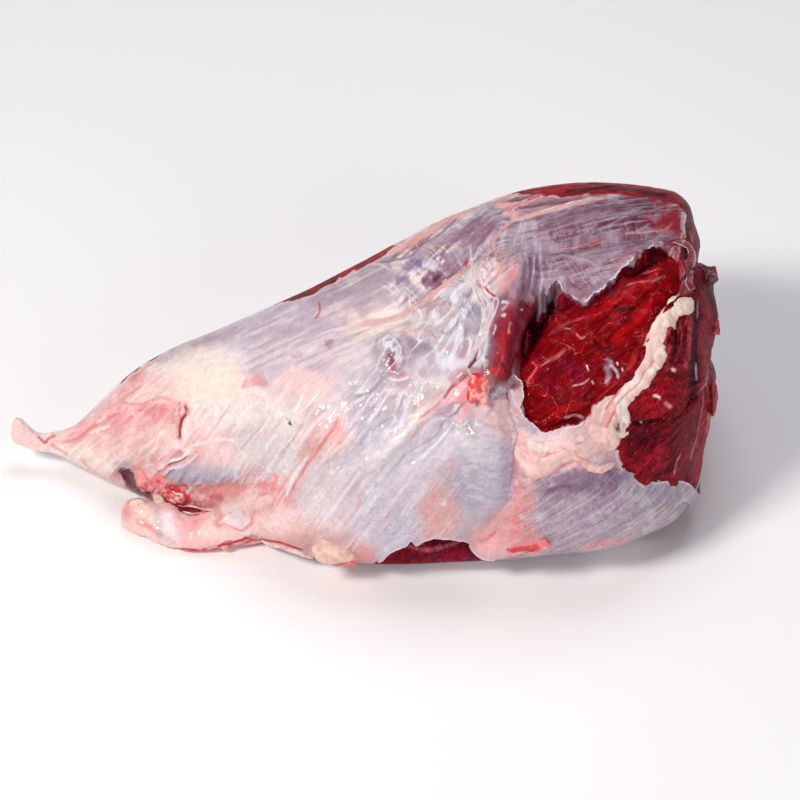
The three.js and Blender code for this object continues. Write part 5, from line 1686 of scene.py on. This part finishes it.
lay(c, "cc3038", 0.75 * stroke(wa, wb, [[236.2, 50.4], [238.2, 54.4], [240.4, 58.6]], 0.7))
lay(c, "e07c7c", 0.5 * stroke(wa, wb, [[235, 50], [237.5, 56], [240, 62]], 2.2))
lay(c, "4c5a26", 0.95 * mound(a, b, [242, 52.3], [0.9, 1.6], 1.5))
lay(c, "3a2a14", 0.9 * mound(a, b, [241.4, 51.5], [0.5, 0.9], 1.2))
laid("Fat_Seam", on_face(wa, wb, height, 1.0), a, b, fat_material, "fat", fat=c)

# %% Fat pad below the pocket
PAD_TOP = [[201.8, 45], [205, 49.6], [209, 49.6], [214, 48.6], [220, 49.8], [226, 51], [231, 54], [236, 56],
    [241, 54], [244.4, 50]]
PAD_LOW = [[201.6, 42], [203, 36], [206, 32.4], [211, 32], [218.9, 36.4], [225.3, 40.4], [229, 41],
    [233.5, 41], [239, 41], [243.4, 44]]
a, b, s, t = ribbon_places(PAD_TOP, PAD_LOW, 300, 70)
across = np.where(t <= 1, t, 2 - t)
wa, wb = a + 0.8 * clouds(a, b, 111, 5, 3), b + 0.8 * clouds(a, b, 115, 5, 3)
crown = np.clip(4 * across * (1 - across), 0, 1) ** 0.5 * np.clip(9 * s * (1 - s), 0, 1) ** 0.5
height = -0.9 + 2.3 * crown + 0.9 * clouds(a, b, 117, 6, 3) * crown
height += creases(
    a, b, ([[212, 41], [219, 44.6], [226, 46.6], [232, 46]], 1.3, -0.9),
    ([[228, 51], [231, 48], [232, 44], [230.6, 41.6]], 1.1, -0.8),
)
height = np.where(t <= 1, height, -3)
c = plain_coat(a, "f0c6be")
lay(c, "f4d6cc", 0.7 * smooth(-0.1, 0.6, clouds(a, b, 121, 7, 3)))
lay(c, "e8aea8", 0.6 * smooth(0.0, 0.7, clouds(a, b, 125, 5, 3)))
lay(c, "f2e2dc", 0.8 * stroke(wa, wb, [[207, 46], [213, 45], [219, 46.4]], 2.4))
lay(c, "cf7c7c", 0.8 * stroke(wa, wb, [[212, 41], [219, 44.6], [226, 46.6], [232, 46]], 0.9))
lay(c, "c66a6e", 0.8 * stroke(wa, wb, [[228, 51], [231, 48], [232, 44], [230.6, 41.6]], 0.8))
lay(c, "d98f8c", 0.8 * smooth(0.8, 0.97, across) + 0 * a)
laid("Fat_Pad", on_face(wa, wb, height, 1.0), a, b, fat_material, "fat", fat=c)

# %% [markdown]
# ## Torn edges of the silverskin
# Where the skin was pulled off the lean it ends in a torn hem that stands off a little and
# has a thin pale fringe. A cut made with a knife would be straight, so each hem follows its
# own ragged line, and its free edge wanders in and out with noise of three sizes.

# %% Torn hems
def torn_edge(name, line, count, reach=5.5, ragged=1.0, lift=0.6, seed=3, tint="mauve", share_of=0.3):
    """A strip of skin along a free edge, with the skin to the left of the line. It runs from
    the edge, moved by noise along the line, to a line further in where it dips under."""
    edge = spaced(line, count)
    inward = np.stack([-np.gradient(edge[:, 1]), np.gradient(edge[:, 0])], 1)
    inward /= np.linalg.norm(inward, axis=1)[:, None]
    inward = np.stack([np.convolve(np.pad(v, 12, "edge"), np.ones(25) / 25, "valid") for v in inward.T], 1)
    run = np.linalg.norm(np.diff(edge, axis=0), axis=1).mean() * np.arange(count)
    tears = 0.8 * cloud(run, 0, seed, 3.4) + 0.4 * cloud(run, 5, seed, 1.3) + 0.2 * cloud(run, 9, seed, 0.5)
    free = edge - inward * (0.7 + ragged * tears)[:, None]
    held = edge + inward * reach
    t = np.concatenate([np.linspace(0, 1, 28), 1 + np.linspace(0, 1, 28)])
    share = np.where(t <= 1, t, 2 - t)[None, :, None]
    place = held[:, None] * (1 - share) + free[:, None] * share
    share = share[..., 0]
    a, b = place[..., 0], place[..., 1]
    curl = lift * share**2 * (0.6 + 0.8 * cloud(run[:, None], share, 13 + seed, 4.5))
    height = -0.6 + 1.2 * smooth(0, 0.3, share) + curl
    height = height + fine_relief(a, b) * (1 - share) * smooth(0, 0.2, share)
    height = np.where(t[None] <= 1, height, height - 0.32)
    ends = smooth(0, 0.02, np.linspace(0, 1, count) * (1 - np.linspace(0, 1, count)))[:, None]
    height = height * ends - 1.2 * (1 - ends)
    c = painted_skin(a, b)
    thin = smooth(-0.4, 0.3, cloud(run[:, None], 0, 23 + seed, 2.6) + 0.3)
    lay(c, tint, share_of * smooth(0.3, 0.9, share) + 0 * a)
    lay(c, "efe0e4", 0.85 * smooth(0.86, 0.97, share) * thin + 0 * a)
    return laid(name, on_face(a, b, height, 1.0), a, b, film_material, "silverskin", skin=c)


torn_edge("Torn_Hem", [
    [214.4, 103.6], [216.5, 105.8], [219.2, 107.2], [221.7, 103.9], [225.4, 101.2], [228.4, 99.6],
    [231.2, 101.8], [236, 105.1], [240.4, 109.5], [244.9, 113.1], [247.9, 116.3], [252.8, 119.6],
    [258.8, 123], [262.6, 123.6],
], 620, seed=3)
torn_edge("Pocket_Rim", [
    [229.4, 53.4], [226, 52.4], [222.1, 51.8], [216.4, 50.4], [212.6, 50], [208.1, 53], [204.6, 56],
    [204, 60], [205, 64.4], [204.2, 68.4], [200.6, 71.6],
], 420, reach=4, ragged=0.7, lift=0.5, seed=5)
torn_edge("Frayed_Edge", [
    [280, 26.2], [276, 27.4], [270.5, 29.6], [265.4, 30], [261, 30.2], [257.6, 29.9], [252.9, 31.6],
    [249.6, 32.4], [244.7, 34.6], [241.6, 37.4],
], 420, reach=6, ragged=0.8, lift=0.5, seed=8)
torn_edge("Membrane_Edge", [
    [265.5, 123.6], [269.6, 122.6], [272, 119.6], [271.6, 116.6], [270.4, 114], [270.4, 110.8],
    [270, 106.4], [271.4, 103.4],
], 300, reach=3.4, ragged=0.9, lift=0.7, seed=12, tint="crimson", share_of=0.8)
torn_edge("Gape_Rim", [
    [149.4, -1], [153.2, 2.4], [157, 5.2], [161, 6.8], [163.4, 8.8], [165.5, 7], [168, 8.6], [172, 10],
    [177, 10.4], [182, 9.4], [186, 7.2], [187.4, 4.2], [190.5, 2.2], [197, 0.8],
], 420, reach=3, ragged=0.6, lift=0.8, seed=15)

# %% [markdown]
# ## Cords and lumps
# Vessels, fat cords and shreds of torn tissue lie on the surface as rounded little bodies. A
# bevelled curve could make the cords, but its ends would stay flat, so both kinds are closed
# grids: a ring swept along a line, and a ball whose radius wanders with noise.

# %% Local directions
UP_FACE = np.array([0, np.sin(SHOW_TILT), np.cos(SHOW_TILT)])
OUT_FACE = np.array([0, -np.cos(SHOW_TILT), np.sin(SHOW_TILT)])


def mottled(a, b, main, other, seed=0.0, size=3.0, share=0.9):
    """One tint with clouds of another."""
    c = plain_coat(a, main)
    lay(c, other, share * smooth(-0.1, 0.5, clouds(a, b, seed, size, 3)))
    return c


# a lump is film or fat right through; a strand is always wrapped in film, a cut vessel too
LUMP_LOOKS = {"silverskin": film_material, "fat": fat_material}


def strand(name, line, radius, main, other, sink=0.3, flat=0.8, slot="silverskin", place=on_face):
    """Rings round a smooth line on the face. Each has the given radius, lower by the flat
    share outwards, times sin(pi s)^0.3, so both ends close; the radius wanders by an eighth."""
    count, around = 110, 18
    path = spaced(line, count)
    s = np.linspace(0, 1, count)
    centre = place(path[:, 0], path[:, 1], 0.3 - sink * radius + fine_relief(path[:, 0], path[:, 1]), 1.0)
    ahead = np.gradient(centre, axis=0)
    ahead /= np.linalg.norm(ahead, axis=1)[:, None]
    side = np.cross(OUT_FACE, ahead)
    side /= np.linalg.norm(side, axis=1)[:, None]
    turn = np.linspace(0, 2 * np.pi, around, endpoint=False)
    run = s[:, None] * 40
    wander = 1 + 0.12 * clouds(run, 2 * np.cos(turn), 2 * np.sin(turn), 3, 2)
    size = radius * np.sin(np.pi * s[:, None]) ** 0.3 * wander
    size[[0, -1]] = 0
    rings = centre[:, None] + size[..., None] * (
        np.cos(turn)[None, :, None] * side[:, None] + flat * np.sin(turn)[None, :, None] * OUT_FACE
    )
    rings[..., 2] = np.maximum(rings[..., 2], 0)
    a = rings[..., 0]
    b = rings @ UP_FACE
    c = mottled(a, b, main, other, radius)
    return laid(name, rings, a, b, film_material, slot, skin=c, fat=c)


def lump(name, at, size, turn, height, main, other, rough, grain_size, slot="silverskin", place=on_face):
    """A ball with half sizes along the face, up it and out of it, turned in the face. The
    radius is 1 + rough * noise of the direction."""
    polar = np.linspace(0, np.pi, 42)[:, None]
    round_ = np.linspace(0, 2 * np.pi, 60, endpoint=False)[None, :]
    ahead = np.sin(polar) * np.cos(round_)
    up = np.sin(polar) * np.sin(round_)
    out = np.cos(polar) + 0 * round_
    seed = at[0] + at[1]
    reach = 1 + rough * clouds(ahead + seed, up, out, grain_size, 2)
    angle = np.radians(turn)
    forward, upward, outward = (v * reach * half for v, half in zip((ahead, up, out), size))
    centre = place(np.array(float(at[0])), np.array(float(at[1])), height, 1.0)
    rings = centre + outward[..., None] * OUT_FACE
    rings = rings + (forward * np.cos(angle) - upward * np.sin(angle))[..., None] * np.array([1, 0, 0])
    rings = rings + (forward * np.sin(angle) + upward * np.cos(angle))[..., None] * UP_FACE
    rings[..., 2] = np.maximum(rings[..., 2], 0)
    a = rings[..., 0]
    b = rings @ UP_FACE
    c = mottled(a, b, main, other, seed, 2.2)
    return laid(name, rings, a, b, LUMP_LOOKS[slot], slot, skin=c, fat=c)


# %% Vessels, cords and shreds
strand("Cut_Vessel", [[222, 42], [226, 41], [228.6, 39.6], [231.6, 37.6], [235, 36.8], [239.4, 37.6],
    [242.6, 38.8]], 1.75, "eec5bb", "e0a39a", 0.1, flat=1.0, slot="fat")
strand("Lower_Lip", [[93, 7.6], [100, 6.6], [108, 5.6], [116, 3.6], [122, 1.6], [127, -0.4]], 1.7, "f2d0c6",
    "e09a96", 0.3)
strand("Lower_Lip_Red", [[104, 7.4], [110, 6.8], [116, 5.4], [121, 4]], 0.6, "b8323c", "8c1c2c", 0.0)
strand("Cord_Of_Back_1", [[198.6, 129.4], [203, 130.7], [212.1, 132.9], [222, 135.6], [233.7, 139],
    [243, 140.8]], 1.0, "e3b9ae", "d9958f", 0.5)
strand("Cord_Of_Back_2", [[200.6, 133.4], [205.5, 137.2], [210.2, 139.9], [218.2, 144]], 1.3, "e2a6a4",
    "c4606a", 0.4)
strand("Cord_Of_Back_3", [[196.8, 138.4], [203.1, 138.5], [206, 137.4]], 1.1, "e2a6a4", "d48888", 0.4)
strand("Heel_Fold", [[72.4, 61.6], [71, 57], [69.6, 51.4], [70.2, 46.4]], 1.6, "f0c4bc", "e09a98", 0.45,
    flat=0.9)
strand("Heel_Rim", [[62, 32.6], [67, 37.8], [72.6, 39.9], [77, 43.2], [83, 45]], 0.7, "f2e2e0", "dcb8bc", 0.5)
strand("Red_Curl_1", [[200, 4.8], [204.6, 6.2], [209.4, 6.6], [213.6, 9]], 2.0, "d8464e", "c0202c", 0.2)
strand("Red_Curl_2", [[207, 4.4], [211, 4.6], [215.4, 7]], 1.5, "f0b2ae", "e0747a", 0.1)
strand("Pink_Fold_Low", [[226.9, 4.6], [234.9, 8.2], [241.7, 9.4], [245.4, 8.4], [248, 13.6]], 0.9,
    "e0a09c", "c9686c", 0.6)
strand("Nub_Curl_1", [[185.2, 70.6], [187.6, 69.2], [186.3, 66.2], [185.2, 63.4], [186.6, 60.8]], 1.3,
    "e8303a", "fab0aa", 0.0)
strand("Nub_Curl_2", [[186.8, 60.8], [189.4, 61.9], [190.2, 64.8], [189.4, 68.4]], 1.3, "f4a8a2", "dc1c28",
    0.0)
strand("Nub_Curl_3", [[186, 71], [189.5, 70], [192.6, 67.6]], 1.1, "d01824", "f8948c", 0.0)
strand("Nub_Curl_4", [[187.4, 68], [188.2, 65], [187.6, 62]], 0.7, "fbe0dc", "f08c88", -0.6)
strand("Film_Curl", [[179.9, 90.6], [181.1, 93.6], [182.9, 94.3], [183.6, 92.8]], 0.6, "e2dae6", "f4eef4",
    0.0)
lump("Coral_Nub", [188, 65.4], [3.4, 5.0, 1.5], 5, 0.2, "ea4a4a", "f8b6ae", 0.45, 0.7)
lump("Film_Lobe", [202.2, 64.2], [2.6, 4.8, 0.7], 8, 0.0, "dcc6d4", "c092a6", 0.35, 1.0)
lump("Grey_Knob", [194.4, 66.2], [3.8, 3.0, 1.2], -30, 0.1, "a4929e", "6e4a58", 0.35, 0.8)
lump("Fat_Nub", [132.6, 4.6], [9, 5.2, 4.0], -12, -0.8, "ecccbb", "e3b0a2", 0.3, 1.3, "fat")
lump("Fat_Nub_Red", [137, -0.4], [5.4, 3.2, 3.4], -5, -0.4, "dd7a74", "efbcae", 0.3, 1.2, "fat")
lump("Bead", [214.4, 8.6], [2.6, 2.3, 1.8], 20, 1.0, "f2b4b2", "e2666c", 0.3, 0.8)
lump("Heel_Lump", [57.4, 29.6], [4.6, 5.0, 2.8], 20, -0.4, "e89496", "cc4c58", 0.35, 0.7)
lump("Edge_Flap", [279.6, 111.4], [3.8, 4.0, 1.6], 10, -0.5, "561420", "843642", 0.4, 0.7)
lump("Edge_Tab_1", [282.4, 92], [2.2, 4.2, 1.4], 6, -0.2, "a42c36", "d46068", 0.4, 0.7)
lump("Edge_Tab_2", [282, 63.4], [1.8, 7.0, 1.8], -4, 0.0, "a82c34", "7e2434", 0.3, 0.6)

# %% [markdown]
# ## Heel strap
# A strap of the heel tendon lies in front of the tail end, flat on the table, with a soft
# wave along its upper side.

# %% Strap
STRAP_SECTIONS = np.array([
    [47, 20, 5, 8.5], [52, 19, 7.5, 10.5], [62, 15, 9.5, 12], [74, 11, 9.5, 10.8], [88, 12, 10, 13],
    [104, 16, 11, 15], [122, 24, 9, 13],
])
ahead = (1 - np.cos(np.linspace(0, np.pi, 240))) / 2
x = (47 + 75 * ahead)[:, None]
cap_share = np.clip((x - 47) / 4, 0, 1)
far_share = np.sqrt(np.clip(1 - (1 - np.clip((122 - x) / 9, 0, 1)) ** 2, 0, 1))
cap_share = (1 - (1 - cap_share) ** 2.6) ** (1 / 2.6) * far_share
cap_share[[0, -1]] = 0
angle = np.linspace(0, 2 * np.pi, 200, endpoint=False)[None]
x = x + 0 * angle
middle, half, top = along(STRAP_SECTIONS, x)
slope = half * np.cos(angle)
fold = 0.6 * clouds(x, 12 * angle, 131, 9, 3) + 0.22 * streaks(x, slope, 80, 9, 1.6, seed=31)
fold += creases(
    x, slope, ([[66, 10], [68, 0], [66.5, -10]], 2.6, 1.2), ([[74, 10], [76, 0], [75, -10]], 3, -0.9),
    ([[57, 10], [58.5, 2], [57, -10]], 1.8, -0.8), ([[50, -2], [60, -5], [70, -8]], 1.5, -0.6),
)
rise = np.where(np.sin(angle) >= 0, 0.65 * top, 0.5 * top)
y = middle + (half + 0.5 * fold) * np.cos(angle) * cap_share
z = np.maximum(0.35 * top + (rise + fold) * np.sin(angle) * cap_share, 0)
strap_points = np.stack([x, y, z], -1)
a, b = x, strap_points @ UP_FACE
wa, wb = a + 0.9 * clouds(a, b, 141, 5, 3), b + 0.9 * clouds(a, b, 145, 5, 3)
c = plain_coat(a, "eec3bd")
lay(c, "rose", 0.7 * smooth(-0.1, 0.6, clouds(a, b, 135, 11, 3)))
lay(c, "cream", 0.7 * mound(wa, wb, [86, 12], [7, 6], 1.0))
lay(c, "cream", 0.85 * mound(wa, wb, [62, 12], [7, 4], 1.0, -30))
lay(c, "coral", 0.8 * mound(wa, wb, [50, 18], [3, 3.4], 1.0))
lay(c, "coral", 0.8 * stroke(wa, wb, [[53, 15], [60, 11], [66, 7.6], [71, 4.4]], 2.2, 0.9))
# painted sheen: a pearly pale band down the strap's front
painted_sheen = np.exp(-(((a - 67.4 + 0.2 * (b - 12)) / 3.2) ** 2)) * smooth(3, 7, b) * smooth(19.5, 17, b)
lay(c, "steel", 0.55 * np.exp(-(((a - 63.4 + 0.2 * (b - 12)) / 1.8) ** 2)) * smooth(5, 9, b))
lay(c, "pearl", 0.9 * painted_sheen * (0.75 + 0.25 * np.sin(b * 9)))
lay(c, "coral", 0.6 * smooth(3.6, 1.6, b) * smooth(66, 72, a))
lay(c, "blood", 0.9 * smooth(2.6, 1.2, b) * smooth(68, 73, a) * smooth(96, 84, a))
lay(c, "coral", 0.5 * mound(wa, wb, [78, 13], [5, 3], 1.0, 20))
inner = smooth(84, 92, a)[..., None]
c = c * (1 - inner) + painted_skin(a, b) * inner
lay(c, "blood", 0.8 * stroke(wa, wb, [[82, 3.2], [89, 4.8], [96, 7], [103, 8.2]], 0.6))
lay(c, "blood", 0.8 * stroke(wa, wb, [[86, 2.4], [92, 4.2], [99, 6.2], [108, 7]], 0.6))
lay(c, "maroon", 0.6 * stroke(wa, wb, [[97, 7.6], [101, 8.6], [105, 8.6]], 0.8))
laid("Heel_Strap", strap_points, a, b, film_material, "tendon", skin=c)

# %% [markdown]
# ## Where the strap joins the heel
# The strap hangs from the heel by film and shreds of red tissue. They lie on whichever of
# the two is nearer, so the face is extended with the strap: both depths are blended with a
# soft minimum, which also rounds the crease between them.

# %% Places on strap or heel
def on_front(a, b, height=0.0, relief=1.0, blend=0.6):
    """Point at (a, b) on the nearer of face and strap. On the strap, b = c0 + r cos(t - t0)
    round its section; depths are joined as -k log(exp(-d1/k) + exp(-d2/k))."""
    a, b = np.broadcast_arrays(np.asarray(a, float), np.asarray(b, float))
    face_depth = -(on_face(a, b, 0.0, relief) @ OUT_FACE)
    middle, half, top = along(STRAP_SECTIONS, a)
    reach_b, reach_d = half * np.sin(SHOW_TILT), 0.65 * top * np.cos(SHOW_TILT)
    base = middle * np.sin(SHOW_TILT) + 0.35 * top * np.cos(SHOW_TILT)
    share = np.clip((b - base) / np.hypot(reach_b, reach_d), -1, 1)
    t = np.arctan2(reach_d, reach_b) + np.arccos(share)
    y, z = middle + half * np.cos(t), np.maximum(0.35 * top + 0.65 * top * np.sin(t), 0)
    strap_depth = y * np.cos(SHOW_TILT) - z * np.sin(SHOW_TILT)
    far = 30.0 * ((a < 48) | (a > 120)) + 6 * np.maximum(0, (b - base) - 0.98 * np.hypot(reach_b, reach_d))
    strap_depth = strap_depth + far
    low = np.minimum(face_depth, strap_depth)
    depth = low - blend * np.log(np.exp((low - face_depth) / blend) + np.exp((low - strap_depth) / blend))
    point = a[..., None] * np.array([1.0, 0, 0]) + b[..., None] * UP_FACE
    point = point + (height - depth)[..., None] * OUT_FACE
    point[..., 2] = np.maximum(point[..., 2], 0)
    return point


# %% Bridge of film
a, b, s, t = ribbon_places(
    [[84, 18.6], [88, 23], [95, 25.2], [104, 26.4], [114, 24.5], [122, 19]],
    [[83, 15.5], [87, 10], [93, 7.4], [103, 7], [112, 6.4], [121, 5.4]], 200, 90,
)
across = np.where(t <= 1, t, 2 - t)
inward = smooth(0, 0.16, across) * smooth(0, 0.16, 1 - across)
rim = np.minimum(inward, smooth(0, 0.12, s) * smooth(0, 0.12, 1 - s))
outline_fold = curve([
    [84, 17.8], [86.4, 14], [89.3, 12.6], [91.7, 11.8], [96.4, 10.3], [98.6, 11.6], [100.4, 13.4],
    [100.6, 15.6], [103.1, 19.4],
], 5)
height = 0.9 * rim - 0.5 + 0.4 * clouds(a, b, 151, 6, 3) + ridge(a, b, outline_fold, 0.7, -0.7)
height = np.where(t <= 1, height, height - 0.7)
c = painted_skin(a, b)
lay(c, "f6cfc8", 0.9 * smooth(20, 17, b) * smooth(88, 84, a))
lay(c, "blush", 0.7 * smooth(-0.2, 0.5, clouds(a, b, 155, 6, 3)))
away, place, side = beside(a, b, outline_fold, 2)
lay(c, "coral", 0.8 * (1 - smooth(0.15, 0.5, away)))
lay(c, "pearl", 0.5 * mound(a, b, [95, 16], [5, 4], 1.0))
laid("Bridge_Film", on_front(a, b, height, blend=2.4), a, b, film_material, "silverskin", skin=c)

# %% Slit and shreds between strap and heel
a, b, t = pad_places(np.array([75, 18.5]), curve([
    [65.4, 20.4], [69.8, 20.4], [74.2, 19.4], [78.7, 18.4], [84, 17.9], [78.1, 17], [76, 16.8],
    [72.6, 17.4], [67.7, 18.4],
], 5, closed=True), 40, 160)
height = np.where(t <= 1, 0.5 - 0.9 * t**3 + 0.2 * clouds(a, b, 161, 2, 2), -1.6)
c = plain_coat(a, "90202e")
lay(c, "b8444e", 0.8 * smooth(0.0, 0.5, clouds(a, b, 165, 3, 3)))
lay(c, "4c0610", 0.9 * stroke(a, b, [[65, 20.4], [70, 20.2], [75, 19.4], [83, 18]], 0.9, 0.8))
laid("Strap_Slit", on_front(a, b, height), a, b, lean_material, "lean", lean=c)
strand("Slit_Rim_1", [[66.6, 22.4], [68.8, 21.4], [71.3, 19.9], [75.1, 19.8], [79.6, 18.7], [84, 18.2]],
    0.6, "f8e4e2", "f0a8a6", 0.1, place=on_front)
strand("Slit_Rim_2", [[72.4, 17.7], [76, 16.9], [78.3, 17], [82, 17.7]], 0.4, "f2dcd8", "d8787c", 0.1,
    place=on_front)
strand("Red_Shred_1", [[65.4, 25], [67.2, 25.6], [69.6, 26.6], [71.8, 26], [73.4, 24.2], [73.4, 22]], 0.9,
    "d8141f", "f0686a", 0.3, flat=0.5, place=on_front)
strand("Red_Shred_2", [[64.6, 23], [67.6, 23.9], [69.8, 22.9], [72, 21]], 1.2, "ea5c60", "f8c4be", 0.4,
    flat=0.5, place=on_front)
strand("Red_Shred_3", [[67.4, 25.9], [69.4, 24.6], [71.4, 24.4], [72.4, 22.6]], 0.5, "f6c8c6", "e85a60",
    0.0, flat=0.6, place=on_front)
strand("Pink_Shred", [[60, 29], [62.6, 31.4], [64.8, 29.6], [63.6, 27], [65.4, 25.4]], 1.5, "ee8088",
    "f8b8b8", 0.2, place=on_front)
strand("Strap_Line", [[71, 3.0], [78, 2.6], [85, 3.8], [92, 5.4], [99, 7.4], [106, 8.2]], 0.55, "b8303c",
    "e89a92", 0.4, place=on_front)
lump("Cream_Lobe_1", [62.6, 21.4], [2.3, 3.2, 2.0], 30, 0.4, "e8cdbd", "d8a89a", 0.2, 1.4, "fat",
    place=on_front)
lump("Cream_Lobe_2", [53.4, 20.8], [3.6, 1.7, 1.6], 8, -0.2, "e6cbbd", "dc9c94", 0.2, 1.4, "fat",
    place=on_front)
lump("Red_Bead", [89.6, 4.2], [2.0, 1.4, 1.4], 0, 0.2, "ecaaa6", "d8686a", 0.2, 1.2, place=on_front)

# %% [markdown]
# ## Table and light
# A pale table and wide soft lights, the main one high on the left and near the camera, so
# that the wet skin picks up broad pale shines and the shadows stay faint.

# %% Floor
floor_mesh = bpy.data.meshes.new("Floor")
floor_mesh.from_pydata([(-4, -4, 0), (4, -4, 0), (4, 4, 0), (-4, 4, 0)], [], [(0, 1, 2, 3)])
floor = bpy.data.objects.new("Floor", floor_mesh)
bpy.context.scene.collection.objects.link(floor)
floor_material, tree = new_material("Matt_Pale_Table")
shader = node(tree, "BsdfPrincipled", {"Base Color": (*linear("f9f8f9"), 1), "Roughness": 0.6})
node(tree, "OutputMaterial", {"Surface": shader})
floor.data.materials.append(floor_material)

# %% Lights
def soft_light(name, place, aim, size, power, colour="ffffff"):
    """A square area light turned to face its aim."""
    data = bpy.data.lights.new(name, "AREA")
    data.size = size
    data.energy = power
    data.color = linear(colour)
    light = bpy.data.objects.new(name, data)
    light.location = place
    away = np.array(place) - np.array(aim)
    flat = np.hypot(away[0], away[1])
    light.rotation_euler = (np.arctan2(flat, away[2]), 0, np.arctan2(away[0], -away[1]))
    bpy.context.scene.collection.objects.link(light)
    return light


soft_light("Key_Light", (-0.75, -0.55, 1.05), (0, 0, 0.05), 0.34, 14, "fffaf4")
soft_light("Fill_Light", (0.85, -1.0, 0.55), (0, 0, 0.05), 0.8, 6.5, "f8f8ff")
soft_light("Top_Light", (0.15, 0.55, 1.2), (0, 0, 0.05), 0.8, 6.5, "f6f7ff")
world = bpy.data.worlds.new("Studio")
world.use_nodes = True
world.node_tree.nodes["Background"].inputs[0].default_value = (1, 1, 1, 1)
world.node_tree.nodes["Background"].inputs[1].default_value = 0.12
bpy.context.scene.world = world
bpy.context.scene.view_settings.view_transform = "Standard"
